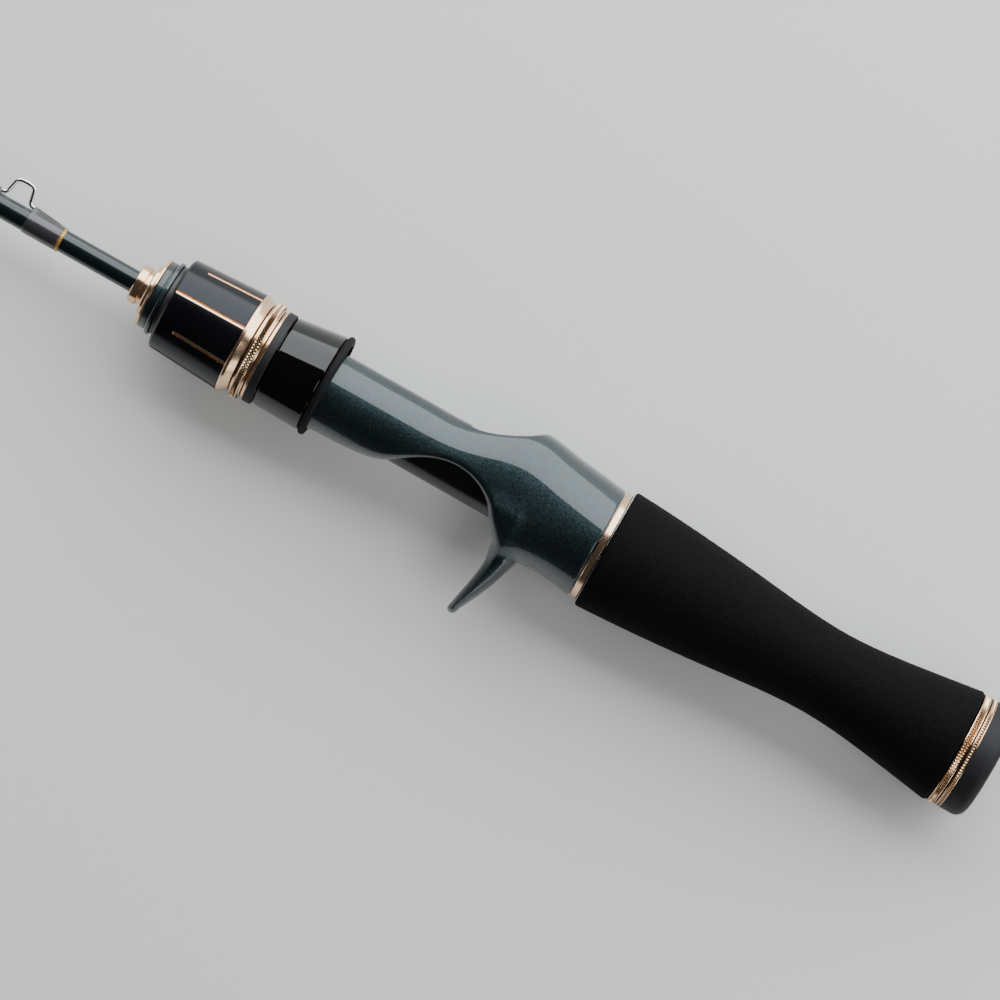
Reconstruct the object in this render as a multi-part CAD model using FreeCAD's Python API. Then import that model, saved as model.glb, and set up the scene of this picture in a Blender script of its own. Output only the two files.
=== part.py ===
"""Handle section of a casting rod: blank with its tip socket, hook keeper, trigger reel seat with a screw-down
moving hood, foam rear grip and butt cap.

The shapes are made about the rod's own axis: x runs along the rod from the tip towards the butt with x = 0 at the
front of the winding check, y is the height on the reel's side and z is sideways. At the end every piece is moved
together, so that the rod lies on its side with the middle of its box over the origin and its lowest point at z = 0.
"""
import FreeCAD, Part
import math
import os

Vector = FreeCAD.Vector

# ---- blank and the socket for the tip section -------------------------------------------------------------------
BLANK_R = 2.93
BLANK_BORE_R = 1.75
TIP_END_X = -110.0
SOCKET_R = 2.2
SOCKET_DEPTH = 35.0
BLANK_END_X = 240.5
GLUE_GAP = 0.03            # bond line between a sleeve and what it is glued on

# ---- thread wraps and hook keeper -------------------------------------------------------------------------------
WRAP_R = 3.22
TRIM_R = 3.3
TRIM_LENGTH = 0.85
FERRULE_WRAP = (-109.0, -79.0)
FERRULE_WRAP_R = 3.45
FERRULE_TRIM_R = 3.55
KEEPER_X = -36.05          # middle of the keeper's loop
KEEPER_LEG = (3.4, 2.35)   # from the loop's middle to a leg's centre line, on the blank and at the top corner
KEEPER_TOP_Y = (8.15, 8.4)  # centre line at the top corners and in the middle
KEEPER_WIRE_R = 0.55
KEEPER_FOOT_BEND = 1.2
KEEPER_CORNER_R = 1.3
KEEPER_ARCH_R = 11.0
KEEPER_FOOT_END = 9.6
WRAP_NEAR = 4.55           # a keeper wrap's ends, from the loop's middle
WRAP_FAR = 14.1
FOOT_SLOPE = ((4.6, 4.08), (10.4, 3.36))  # the line a foot's top is ground down to, from the loop's middle
WRAP_CREST = (4.22, 3.26)  # top of the thread over a foot, at the loop's end of the wrap and at its far end
CREST_R = 0.9
FOOT_LIFT = 0.15           # epoxy between the blank and a keeper foot

# ---- front of the reel seat -------------------------------------------------------------------------------------
CHECK_END_X = 5.65
END_CAP = (5.75, 9.0)
BARREL = (9.1, 41.3)
THREAD_ROOT_R = 9.5
THREAD_CREST_R = 10.3
THREAD_PITCH = 2.0
THREAD_ROOT_HALF = 0.75    # half the thread's width at its root
THREAD_CREST_HALF = 0.3
THREAD_START = 10.4
THREAD_TURNS = 15
THREAD_PLAY = 0.17         # between the flanks of the two threads

# ---- core tube and seat body ------------------------------------------------------------------------------------
CORE_R = 7.75
CORE_BORE_R = 6.6
CORE = (9.1, 132.6)
CORE_SEAT_R = CORE_R + GLUE_GAP
BODY = (41.4, 132.75)
BODY_R = 10.9
BED_Y = 10.4
BED = (56.0, 91.5)
BED_RELIEF = 0.12          # how far the flat lies below the bed under the two hoods
BODY_END_R = 14.9
KEYWAY_WIDTH = 3.0
KEYWAY_R = 9.25
KEYWAY_END_X = 71.6
HOOD_PEAK = (109.0, 17.9)
POCKET_END_X = 119.5
POCKET_HALF_WIDTH = 6.8
POCKET_CEILING = ((108.0, 14.95), (113.5, 14.95), (POCKET_END_X, 12.9))
TRIGGER_TIP_Y = -33.2

# ---- lock nut and its rings -------------------------------------------------------------------------------------
NUT = (10.35, 30.3)
NUT_FRONT_R = 12.4
NUT_REAR_R = 13.5
NUT_CHAMFER = 0.5
NUT_SLEEVE_END_X = 33.4
NUT_SLEEVE_R = 11.9
NUT_THREAD = (11.4, 23.4)
NUT_BORE_R = 10.45
NUT_REAR_BORE_R = 11.15
GROOVES = 8
GROOVE_WIDTH = 0.85
GROOVE_DEPTH = 0.45
GROOVE_FIRST_DEG = 14.5
LONG_GROOVE_X = 10.9
SHORT_GROOVE_X = 15.0
COLLAR = (30.35, 33.5)
KNURL = (33.9, 36.0)
KNURL_R = 13.2
PLAIN_RING = (36.0, 37.6)
THRUST_RING = (37.6, 39.8)
THRUST_RING_R = 12.6
RING_BORE_R = 11.9

# ---- moving hood ------------------------------------------------------------------------------------------------
HOOD = (40.05, 53.4)
HOOD_FRONT = (0.25, 12.25)  # height of the outline circle's middle, and its radius
HOOD_REAR = (0.98, 13.27)
HOOD_BORE_R = 11.05
HOOD_EDGE = 1.0
HOOD_SKIRT = (33.95, 40.05)
HOOD_SKIRT_R = 11.7
HOOD_LIP = (53.4, 55.3)
HOOD_LIP_CIRCLE = (1.0, 13.9)
HOOD_POCKET_X = 45.2
HOOD_POCKET_HALF_WIDTH = 7.1
HOOD_POCKET_TOP = (12.35, 13.3)  # ceiling at the pocket's end and at its mouth
HOOD_CUSHION = 0.45
HOOD_WALL = 0.95           # the shell over its pocket
KEY_WIDTH = 2.7
KEY_R = 9.45
SNAP_RING = (35.0, 35.7)
SNAP_RING_R = (11.3, 12.25)
SNAP_PLAY = 0.15

# ---- rear grip and butt -----------------------------------------------------------------------------------------
TRIM_RING = (132.9, 134.85)
TRIM_RING_R = 14.85
GRIP = (135.1, 235.3)
GRIP_FRONT_R = 16.1
GRIP_WAIST = (198.0, 11.2)
GRIP_END_R = 15.35
GRIP_OUTLINE = ((145.0, 15.6), (157.0, 14.7), (171.0, 13.4), (184.0, 12.0), GRIP_WAIST, (211.0, 12.05), (223.0, 13.65))
GRIP_EDGE = 0.8
BUTT_RING = (235.5, 239.1)
BUTT_RING_R = 15.2
BUTT_RING_GROOVE = (237.6, 0.45, 0.5)  # middle, width and depth
BUTT_CAP = (239.1, 245.4)
BUTT_CAP_R = 15.1
BUTT_CAP_ROUND = 2.8
PLUG = (226.0, 240.5)

KEEPER_FOOT_Y = BLANK_R + FOOT_LIFT + KEEPER_WIRE_R
PLACE = Vector(-(TIP_END_X + BUTT_CAP[1]) / 2, -(HOOD_PEAK[1] + TRIGGER_TIP_Y) / 2, GRIP_FRONT_R)

ALONG = Vector(1, 0, 0)
AXIS_TO_X = FreeCAD.Placement(Vector(0, 0, 0), FreeCAD.Rotation(Vector(1, 1, 1), 120))


# ---- shapes -----------------------------------------------------------------------------------------------------
def cylinder(x0, x1, radius, height=0.0, side=0.0):
    """A cylinder along the rod between two x, its axis at the given height and side."""
    return Part.makeCylinder(radius, x1 - x0, Vector(x0, height, side), ALONG)


def circle_wire(x, height, radius):
    """A circle across the rod."""
    return Part.Wire(Part.makeCircle(radius, Vector(x, height, 0), ALONG))


def sleeve(span, radius, bore):
    """A plain tube about the rod's axis."""
    return cylinder(span[0], span[1], radius).cut(cylinder(span[0] - 1, span[1] + 1, bore))


def polygon(points):
    """A closed wire through (x, y) points."""
    corners = [Vector(x, y, 0) for x, y in points]
    return Part.makePolygon(corners + corners[:1])


def turned(outline, bore, bore_end=None):
    """A solid of revolution about the rod's axis: (x, radius) points of its outside, front to rear, and its bore."""
    bore_end = bore if bore_end is None else bore_end
    points = [(outline[0][0], bore)] + list(outline) + [(outline[-1][0], bore_end)]
    return Part.Face(polygon(points)).revolve(Vector(0, 0, 0), ALONG, 360)


def block(x, y, z):
    """A box between two x, two y and two z."""
    size = (x[1] - x[0], y[1] - y[0], z[1] - z[0])
    return Part.makeBox(*size, Vector(x[0], y[0], z[0]))


def spline(points):
    """An edge through (x, y) points."""
    curve = Part.BSplineCurve()
    curve.interpolate([Vector(x, y, 0) for x, y in points])
    return curve.toShape()


def slab(edges, half_width):
    """The closed outline of some edges in the x, y plane, made as thick as twice half_width about that plane."""
    wire = Part.Wire(Part.__sortEdges__(edges))
    face = Part.Face(wire)
    face.translate(Vector(0, 0, -half_width))
    return face.extrude(Vector(0, 0, 2 * half_width))


def line(a, b):
    """An edge between two (x, y) points."""
    return Part.makeLine(Vector(a[0], a[1], 0), Vector(b[0], b[1], 0))


def helical_ridge(start, turns, base_r, base_half, tip_r, tip_half):
    """A right-handed ridge wound about the rod's axis; start is the x of its middle at its first point."""
    helix = Part.makeHelix(THREAD_PITCH, THREAD_PITCH * turns, (base_r + tip_r) / 2)
    corners = [Vector(base_r, 0, -base_half), Vector(tip_r, 0, -tip_half),
               Vector(tip_r, 0, tip_half), Vector(base_r, 0, base_half)]
    profile = Part.makePolygon(corners + corners[:1])
    ridge = Part.Wire(helix).makePipeShell([profile], True, True)
    ridge.Placement = AXIS_TO_X
    ridge.translate(Vector(start, 0, 0))
    return ridge


def rounded_path(points, radii):
    """A wire through (x, y) points with an arc of the given radius at each inner point."""
    corners = [Vector(x, y, 0) for x, y in points]
    edges = []
    last = corners[0]
    for before, corner, after, radius in zip(corners, corners[1:], corners[2:], radii):
        to_start = (before - corner).normalize()
        to_end = (after - corner).normalize()
        half_angle = to_start.getAngle(to_end) / 2
        setback = radius / math.tan(half_angle)
        start = corner + to_start * setback
        end = corner + to_end * setback
        middle_line = (to_start + to_end).normalize()
        middle = corner + middle_line * (radius / math.sin(half_angle) - radius)
        edges.append(Part.makeLine(last, start))
        edges.append(Part.Arc(start, middle, end).toShape())
        last = end
    edges.append(Part.makeLine(last, corners[-1]))
    return Part.Wire(edges)


# ---- blank, socket and thread wraps -----------------------------------------------------------------------------
def make_blank():
    blank = sleeve((TIP_END_X, BLANK_END_X), BLANK_R, BLANK_BORE_R)
    socket = cylinder(TIP_END_X - 1, TIP_END_X + SOCKET_DEPTH, SOCKET_R)
    return blank.cut(socket)


def make_trim(start, radius):
    """A narrow band of metallic thread."""
    third = TRIM_LENGTH / 3
    low = radius - 0.12
    outline = [(start, low), (start + third, radius), (start + 2 * third, radius), (start + TRIM_LENGTH, low)]
    return turned(outline, BLANK_R + GLUE_GAP)


def make_ferrule_wrap():
    start, end = FERRULE_WRAP
    shoulder = 1.5
    outline = [(start, WRAP_R), (start + shoulder, FERRULE_WRAP_R), (end - shoulder, FERRULE_WRAP_R), (end, WRAP_R)]
    return turned(outline, BLANK_R + GLUE_GAP)


def make_keeper():
    """The bent wire loop, with its two feet lying on the blank."""
    foot_y = KEEPER_FOOT_Y
    half = [(KEEPER_FOOT_END, foot_y), (KEEPER_LEG[0], foot_y), (KEEPER_LEG[1], KEEPER_TOP_Y[0])]
    points = [(KEEPER_X - x, y) for x, y in half] + [(KEEPER_X, KEEPER_TOP_Y[1])]
    points += [(KEEPER_X + x, y) for x, y in reversed(half)]
    bends = [KEEPER_FOOT_BEND, KEEPER_CORNER_R]
    path = rounded_path(points, bends + [KEEPER_ARCH_R] + bends[::-1])
    section = Part.Wire(Part.makeCircle(KEEPER_WIRE_R, Vector(points[0][0], foot_y, 0), ALONG))
    keeper = path.makePipeShell([section], True, True)
    high = foot_y + 2
    ground = [(KEEPER_X + x, y) for x, y in FOOT_SLOPE] + [(KEEPER_X + x, high) for x, _ in reversed(FOOT_SLOPE)]
    wedge = Part.Face(polygon(ground)).extrude(Vector(0, 0, 4))
    wedge.translate(Vector(0, 0, -2))
    return keeper.cut([wedge, wedge.mirror(Vector(KEEPER_X, 0, 0), ALONG)])


def crest_wire(x, top):
    """A tab across the rod from its axis up to a round top, the section of the thread over a foot."""
    shoulder = top - CREST_R
    left, right = Vector(x, 0, -CREST_R), Vector(x, 0, CREST_R)
    left_top, right_top = left + Vector(0, shoulder, 0), right + Vector(0, shoulder, 0)
    arc = Part.Arc(left_top, Vector(x, top, 0), right_top).toShape()
    return Part.Wire([Part.makeLine(left, left_top), arc, Part.makeLine(right_top, right), Part.makeLine(right, left)])


def make_keeper_wrap(keeper):
    """The thread over the keeper foot on the butt's side."""
    start, end = KEEPER_X + WRAP_NEAR, KEEPER_X + WRAP_FAR
    ridge = Part.makeLoft([crest_wire(x, top) for x, top in zip((start, end), WRAP_CREST)], True, True)
    wrap = cylinder(start, end, WRAP_R).fuse(ridge)
    return wrap.cut([cylinder(start - 1, end + 1, BLANK_R + GLUE_GAP), keeper])


# ---- front of the reel seat -------------------------------------------------------------------------------------
def make_winding_check():
    outline = [(0.0, 4.85), (0.3, 5.15), (2.2, 5.15), (2.5, 4.6), (3.4, 4.6), (3.7, 6.5), (3.95, 6.75), (4.65, 6.75),
               (4.85, 6.5), (4.9, 9.15), (5.05, 9.35), (5.5, 9.35), (CHECK_END_X, 9.2)]
    return turned(outline, BLANK_R + GLUE_GAP)


def make_end_cap():
    outline = [(END_CAP[0], 9.1), (5.95, 9.25), (7.3, 9.25), (7.4, 9.0), (7.75, 9.0), (7.8, 9.9), (8.0, 10.1),
               (8.8, 10.1), (END_CAP[1], 9.9)]
    return turned(outline, BLANK_R + GLUE_GAP)


def keyway(span):
    """The straight slot under the barrel and the body that stops the moving hood turning."""
    half = KEYWAY_WIDTH / 2
    return block(span, (-BODY_R - 5, -KEYWAY_R), (-half, half))


def make_barrel():
    core = cylinder(BARREL[0], BARREL[1], THREAD_ROOT_R)
    ridge = helical_ridge(THREAD_START, THREAD_TURNS, THREAD_ROOT_R - 0.25,
                          THREAD_ROOT_HALF + 0.25 * thread_slope(), THREAD_CREST_R, THREAD_CREST_HALF)
    barrel = core.fuse(ridge)
    bore = cylinder(BARREL[0] - 1, BARREL[1] + 1, CORE_SEAT_R)
    return barrel.cut([bore, keyway((BARREL[0] - 1, BARREL[1] + 1))])


def thread_slope():
    """How much a flank widens for each millimetre towards the axis."""
    return (THREAD_ROOT_HALF - THREAD_CREST_HALF) / (THREAD_CREST_R - THREAD_ROOT_R)


def make_core_tube():
    return sleeve(CORE, CORE_R, CORE_BORE_R)


def make_arbor(span):
    """A bush that centres the core tube on the blank."""
    return sleeve(span, CORE_BORE_R - GLUE_GAP, BLANK_R + GLUE_GAP)


# ---- seat body --------------------------------------------------------------------------------------------------
# x, top, bottom, half width and squareness of the body's outside, before its openings are cut
BODY_SECTIONS = (
    (BODY[0], BODY_R, BODY_R, BODY_R, 2.0),
    (50.0, BODY_R, BODY_R, BODY_R, 2.0),
    (60.0, BODY_R, BODY_R, BODY_R, 2.0),
    (70.0, BODY_R, BODY_R, BODY_R, 2.0),
    (80.0, BODY_R, 10.8, 10.8, 2.0),
    (88.0, 11.0, 10.9, 10.9, 2.1),
    (95.0, 13.2, 11.6, 11.6, 2.2),
    (102.0, 16.5, 12.8, 12.7, 2.3),
    (HOOD_PEAK[0], HOOD_PEAK[1], 14.4, 13.6, 2.35),
    (117.0, 16.9, 14.05, 14.1, 2.25),
    (125.0, 15.85, 13.9, 14.3, 2.1),
    (BODY[1], BODY_END_R, BODY_END_R, BODY_END_R, 2.0),
)
SECTION_POINTS = 24
MOUTH_EDGE = ((91.5, 10.35), (95.0, 10.75), (100.0, 12.5), (105.0, 15.2), HOOD_PEAK)
# the edge of the opening under the body, which runs on as the trigger's front
WINDOW_EDGE = ((58.0, -10.92), (65.0, -10.5), (70.0, -9.8), (75.0, -8.5), (80.0, -5.5), (85.0, -2.5), (90.0, -0.75),
               (94.0, -0.45), (98.0, -1.15), (101.25, -2.6), (103.75, -4.5), (106.5, -8.2), (108.3, -10.5),
               (109.7, -12.7), (110.25, -15.0), (110.25, -18.5), (109.9, -21.5), (109.25, -25.0), (108.5, -28.6),
               (107.9, -31.6), (107.5, -35.0))
WINDOW_LOW = -37.0
TRIGGER_REAR = ((110.75, -31.25), (111.5, -29.75), (113.0, -26.75), (114.5, -23.3), (115.75, -19.9), (116.8, -16.6),
                (117.5, -14.7))
TRIGGER_ROOT = (118.2, -11.0)   # behind the heel, inside the body
TRIGGER_TIP = (109.4, TRIGGER_TIP_Y)
TRIGGER_TIP_FRONT = (107.2, -32.6)
TRIGGER_AHEAD = 104.0      # the trigger's blank starts this far forward, before its front is cut
# half width of the trigger and the height of each
TRIGGER_SIDE = ((8.2, -10.0), (6.1, -15.5), (5.2, -23.0), (4.9, -29.0))


def body_section(x, top, bottom, half_width, power):
    """One closed outline of the body: a rounded shape with its own height above and below the axis."""
    points = []
    for i in range(SECTION_POINTS):
        angle = 2 * math.pi * i / SECTION_POINTS
        cos, sin = math.cos(angle), math.sin(angle)
        y = math.copysign(abs(cos) ** (2 / power), cos) * (top if cos > 0 else bottom)
        z = math.copysign(abs(sin) ** (2 / power), sin) * half_width
        points.append(Vector(x, y, z))
    curve = Part.BSplineCurve()
    curve.interpolate(Points=points, PeriodicFlag=True)
    return Part.Wire(curve.toShape())


def make_trigger():
    """The finger hook: its outline from the side, trimmed by its outline from the front."""
    tip = Part.Arc(Vector(*TRIGGER_TIP_FRONT, 0), Vector(*TRIGGER_TIP, 0), Vector(*TRIGGER_REAR[0], 0)).toShape()
    ahead = [(TRIGGER_AHEAD, TRIGGER_TIP_FRONT[1]), (TRIGGER_AHEAD, TRIGGER_ROOT[1])]
    edges = [tip, spline(TRIGGER_REAR), line(TRIGGER_REAR[-1], TRIGGER_ROOT), line(TRIGGER_ROOT, ahead[1]),
             line(ahead[1], ahead[0]), line(ahead[0], TRIGGER_TIP_FRONT)]
    from_side = slab(edges, 9.0)
    right = spline(TRIGGER_SIDE)
    left = spline([(-z, y) for z, y in TRIGGER_SIDE])
    end_z, end_y = TRIGGER_SIDE[-1]
    round_end = Part.Arc(Vector(end_z, end_y, 0), Vector(0, TRIGGER_TIP_Y, 0), Vector(-end_z, end_y, 0)).toShape()
    root_z, root_y = TRIGGER_SIDE[0]
    root = [line((root_z, root_y), (root_z, 0.0)), line((root_z, 0.0), (-root_z, 0.0)),
            line((-root_z, 0.0), (-root_z, root_y))]
    from_front = Part.Face(Part.Wire(Part.__sortEdges__([right, round_end, left] + root)))
    from_front.rotate(Vector(0, 0, 0), Vector(0, 1, 0), 90)
    from_front.translate(Vector(95.0, 0, 0))
    return from_side.common(from_front.extrude(Vector(30, 0, 0)))


def make_seat_body():
    outside = Part.makeLoft([body_section(*section) for section in BODY_SECTIONS], True, False)
    body = outside.fuse(make_trigger())
    high = 30.0
    wide = 20.0
    mouth = slab([spline(MOUTH_EDGE), line(MOUTH_EDGE[-1], (HOOD_PEAK[0], high)),
                  line((HOOD_PEAK[0], high), (BODY[0] - 1, high)), line((BODY[0] - 1, high), (BODY[0] - 1, BED_Y)),
                  line((BODY[0] - 1, BED_Y), (MOUTH_EDGE[0][0], BED_Y)),
                  line((MOUTH_EDGE[0][0], BED_Y), MOUTH_EDGE[0])], wide)
    low = [(WINDOW_EDGE[-1][0], WINDOW_LOW), (WINDOW_EDGE[0][0], WINDOW_LOW)]
    window = slab([spline(WINDOW_EDGE), line(WINDOW_EDGE[-1], low[0]), line(*low), line(low[1], WINDOW_EDGE[0])], wide)
    floor_y = BED_Y - BED_RELIEF
    ceiling = list(POCKET_CEILING)
    pocket_outline = [(BED[1], floor_y), (BED[1], high), (ceiling[0][0], high)] + ceiling
    pocket_outline += [(POCKET_END_X, floor_y)]
    pocket = Part.Face(polygon(pocket_outline))
    pocket.translate(Vector(0, 0, -POCKET_HALF_WIDTH))
    pocket = pocket.extrude(Vector(0, 0, 2 * POCKET_HALF_WIDTH))
    front_flat = block((BODY[0] - 1, BED[0]), (floor_y, high), (-wide, wide))
    bore = cylinder(BODY[0] - 1, BODY[1] + 1, CORE_SEAT_R)
    return body.cut([mouth, window, pocket, front_flat, bore, keyway((BODY[0] - 1, KEYWAY_END_X))])


# ---- lock nut ---------------------------------------------------------------------------------------------------
def nut_radius(x):
    """The nut's outside radius at x."""
    share = (x - NUT[0]) / (NUT[1] - NUT[0])
    return NUT_FRONT_R + share * (NUT_REAR_R - NUT_FRONT_R)


def groove_cutter(index):
    """One sunk flute with round ends, along the nut's sloping side."""
    start = LONG_GROOVE_X if index % 2 == 0 else SHORT_GROOVE_X
    end = NUT[1] + 2
    half = GROOVE_WIDTH / 2
    floor_y = nut_radius(start) - GROOVE_DEPTH
    slope = math.degrees(math.atan2(nut_radius(end) - nut_radius(start), end - start))
    height = 3.0
    bar = block((start + half, end), (floor_y, floor_y + height), (-half, half))
    nose = Part.makeCylinder(half, height, Vector(start + half, floor_y, 0), Vector(0, 1, 0))
    cutter = bar.fuse(nose)
    cutter.rotate(Vector(start, floor_y, 0), Vector(0, 0, 1), slope)
    cutter.rotate(Vector(0, 0, 0), ALONG, 90 - (GROOVE_FIRST_DEG + index * 360 / GROOVES))
    return cutter


def make_lock_nut():
    outline = [(NUT[0], NUT_FRONT_R - NUT_CHAMFER), (NUT[0] + NUT_CHAMFER, nut_radius(NUT[0] + NUT_CHAMFER)),
               (NUT[1], NUT_REAR_R), (NUT[1], NUT_SLEEVE_R), (NUT_SLEEVE_END_X, NUT_SLEEVE_R)]
    nut = turned(outline, NUT_BORE_R)
    nut = nut.cut(cylinder(NUT_THREAD[1] + 2.2, NUT_SLEEVE_END_X + 1, NUT_REAR_BORE_R))
    groove_at_tip = THREAD_PITCH / 2 - THREAD_ROOT_HALF
    tip_r = THREAD_ROOT_R + 0.3
    tip_half = groove_at_tip + (tip_r - THREAD_ROOT_R) * thread_slope() - THREAD_PLAY
    base_r = NUT_BORE_R + 0.25
    base_half = groove_at_tip + (base_r - THREAD_ROOT_R) * thread_slope() - THREAD_PLAY
    turns = (NUT_THREAD[1] - NUT_THREAD[0]) / THREAD_PITCH
    ridge = helical_ridge(NUT_THREAD[0], turns, base_r, base_half, tip_r, tip_half)
    nut = nut.fuse(ridge)
    return nut.cut([groove_cutter(i) for i in range(GROOVES)])


def make_collar():
    outline = [(COLLAR[0], 13.45), (30.55, 13.6), (31.3, 13.6), (33.3, 12.35), (COLLAR[1], 12.2)]
    return turned(outline, NUT_SLEEVE_R + GLUE_GAP)


def make_knurled_ring():
    """The knurled grip ring, grooved inside for the snap ring."""
    edge = 0.2
    outline = [(KNURL[0], KNURL_R - edge), (KNURL[0] + edge, KNURL_R), (KNURL[1] - edge, KNURL_R),
               (KNURL[1], KNURL_R - edge)]
    ring = turned(outline, RING_BORE_R)
    groove = (SNAP_RING[0] - SNAP_PLAY, SNAP_RING[1] + SNAP_PLAY)
    return ring.cut(cylinder(groove[0], groove[1], SNAP_RING_R[1] + SNAP_PLAY))


def make_collar_web():
    """The thin washer that closes the gap between the collar and the knurled ring."""
    return sleeve((COLLAR[1], KNURL[0]), 12.1, NUT_SLEEVE_R - 0.1)


def make_plain_ring():
    outline = [(PLAIN_RING[0], 12.3), (36.4, 12.15), (37.3, 12.55), (PLAIN_RING[1], 12.55)]
    return turned(outline, RING_BORE_R)


def make_thrust_ring():
    edge = 0.15
    outline = [(THRUST_RING[0], THRUST_RING_R - edge), (THRUST_RING[0] + edge, THRUST_RING_R),
               (THRUST_RING[1] - edge, THRUST_RING_R), (THRUST_RING[1], THRUST_RING_R - edge)]
    return turned(outline, RING_BORE_R)


# ---- moving hood ------------------------------------------------------------------------------------------------
def hood_circle(x):
    """Height of the middle and radius of the hood's outside at x."""
    share = (x - HOOD[0] - HOOD_EDGE) / (HOOD[1] - HOOD[0] - HOOD_EDGE)
    return [front + share * (rear - front) for front, rear in zip(HOOD_FRONT, HOOD_REAR)]


def hood_pocket(top_drop):
    """The slot that takes the front of the reel's foot, under an even wall; its ceiling is lowered by top_drop."""
    end_top, mouth_top = (top - top_drop for top in HOOD_POCKET_TOP)
    far = HOOD_LIP[1] + 1
    outline = [(HOOD_POCKET_X, 8.0), (HOOD_POCKET_X, end_top), (far, mouth_top), (far, 8.0)]
    face = Part.Face(polygon(outline))
    half = HOOD_POCKET_HALF_WIDTH - top_drop
    face.translate(Vector(0, 0, -half))
    inside = []
    for x in (HOOD_POCKET_X, far):
        height, radius = hood_circle(x)
        inside.append(circle_wire(x, height, radius - HOOD_WALL - top_drop))
    return face.extrude(Vector(0, 0, 2 * half)).common(Part.makeLoft(inside, True, True))


def make_moving_hood():
    edge = HOOD_EDGE
    front = circle_wire(HOOD[0] + edge, HOOD_FRONT[0], HOOD_FRONT[1])
    rear = circle_wire(HOOD[1], HOOD_REAR[0], HOOD_REAR[1])
    shell = Part.makeLoft([front, rear], True, True)
    nose = Part.makeCone(HOOD_FRONT[1] - 0.6, HOOD_FRONT[1], edge, Vector(HOOD[0], HOOD_FRONT[0], 0), ALONG)
    shell = shell.fuse([nose, cylinder(HOOD_SKIRT[0], HOOD_SKIRT[1], HOOD_SKIRT_R)])
    bore = cylinder(HOOD_SKIRT[0] - 1, HOOD[1] + 1, HOOD_BORE_R)
    groove = sleeve(SNAP_RING, HOOD_SKIRT_R + 1, SNAP_RING_R[0])
    hood = shell.cut([bore, hood_pocket(0.0), groove])
    half = KEY_WIDTH / 2
    key = block((HOOD[0] + 1, HOOD[1] - 0.5), (-HOOD_BORE_R - 0.4, -KEY_R), (-half, half))
    return hood.fuse(key)


def make_hood_lip():
    """The soft rim of the hood, with the pad that lines its pocket's ceiling."""
    height, radius = HOOD_LIP_CIRCLE
    edge = 0.6
    start = HOOD[1] + GLUE_GAP
    rim = Part.makeLoft([circle_wire(start, height, radius - edge), circle_wire(start + edge, height, radius)], True, True)
    middle = cylinder(start + edge, HOOD_LIP[1] - edge, radius, height)
    back = Part.makeLoft([circle_wire(HOOD_LIP[1] - edge, height, radius), circle_wire(HOOD_LIP[1], height, radius - edge)],
                         True, True)
    rim = rim.fuse([middle, back])
    pad = hood_pocket(GLUE_GAP).common(block((HOOD_POCKET_X + GLUE_GAP, HOOD_LIP[1] - edge), (10.0, 14.0), (-8, 8)))
    bore = cylinder(HOOD_SKIRT[0], HOOD_LIP[1] + 1, HOOD_BORE_R)
    return rim.fuse(pad).cut([bore, hood_pocket(HOOD_CUSHION)])


def make_snap_ring():
    return sleeve(SNAP_RING, SNAP_RING_R[1], SNAP_RING_R[0] + GLUE_GAP)


# ---- rear grip and butt -----------------------------------------------------------------------------------------
def make_trim_ring():
    edge = 0.25
    outline = [(TRIM_RING[0], TRIM_RING_R - edge), (TRIM_RING[0] + edge, TRIM_RING_R),
               (TRIM_RING[1] - edge, TRIM_RING_R), (TRIM_RING[1], TRIM_RING_R - edge)]
    return turned(outline, BLANK_R + GLUE_GAP)


def make_grip():
    bore = BLANK_R + GLUE_GAP
    front, rear = GRIP
    side = [(front + GRIP_EDGE, GRIP_FRONT_R)] + list(GRIP_OUTLINE) + [(rear - GRIP_EDGE, GRIP_END_R)]
    edges = [line((front, bore), (front, GRIP_FRONT_R - GRIP_EDGE)), line((front, GRIP_FRONT_R - GRIP_EDGE), side[0]),
             spline(side), line(side[-1], (rear, GRIP_END_R - GRIP_EDGE)),
             line((rear, GRIP_END_R - GRIP_EDGE), (rear, bore)), line((rear, bore), (front, bore))]
    return Part.Face(Part.Wire(Part.__sortEdges__(edges))).revolve(Vector(0, 0, 0), ALONG, 360)


def make_butt_ring():
    edge = 0.25
    middle, width, depth = BUTT_RING_GROOVE
    low = BUTT_RING_R - depth
    outline = [(BUTT_RING[0], BUTT_RING_R - edge), (BUTT_RING[0] + edge, BUTT_RING_R), (middle - width / 2, BUTT_RING_R),
               (middle - width / 2, low), (middle + width / 2, low), (middle + width / 2, BUTT_RING_R),
               (BUTT_RING[1] - edge, BUTT_RING_R), (BUTT_RING[1], BUTT_RING_R - edge)]
    return turned(outline, BLANK_R + GLUE_GAP)


def make_butt_cap():
    start, end = BUTT_CAP
    cap = cylinder(start, end, BUTT_CAP_R)
    rim = [e for e in cap.Edges if abs(e.BoundBox.XMin - end) < 0.01 and abs(e.BoundBox.XMax - end) < 0.01]
    cap = cap.makeFillet(BUTT_CAP_ROUND, rim)
    return cap.cut(cylinder(start - 1, BLANK_END_X + 0.1, BLANK_R + GLUE_GAP))


def make_plug():
    return cylinder(PLUG[0], PLUG[1], BLANK_BORE_R - GLUE_GAP)


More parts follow.
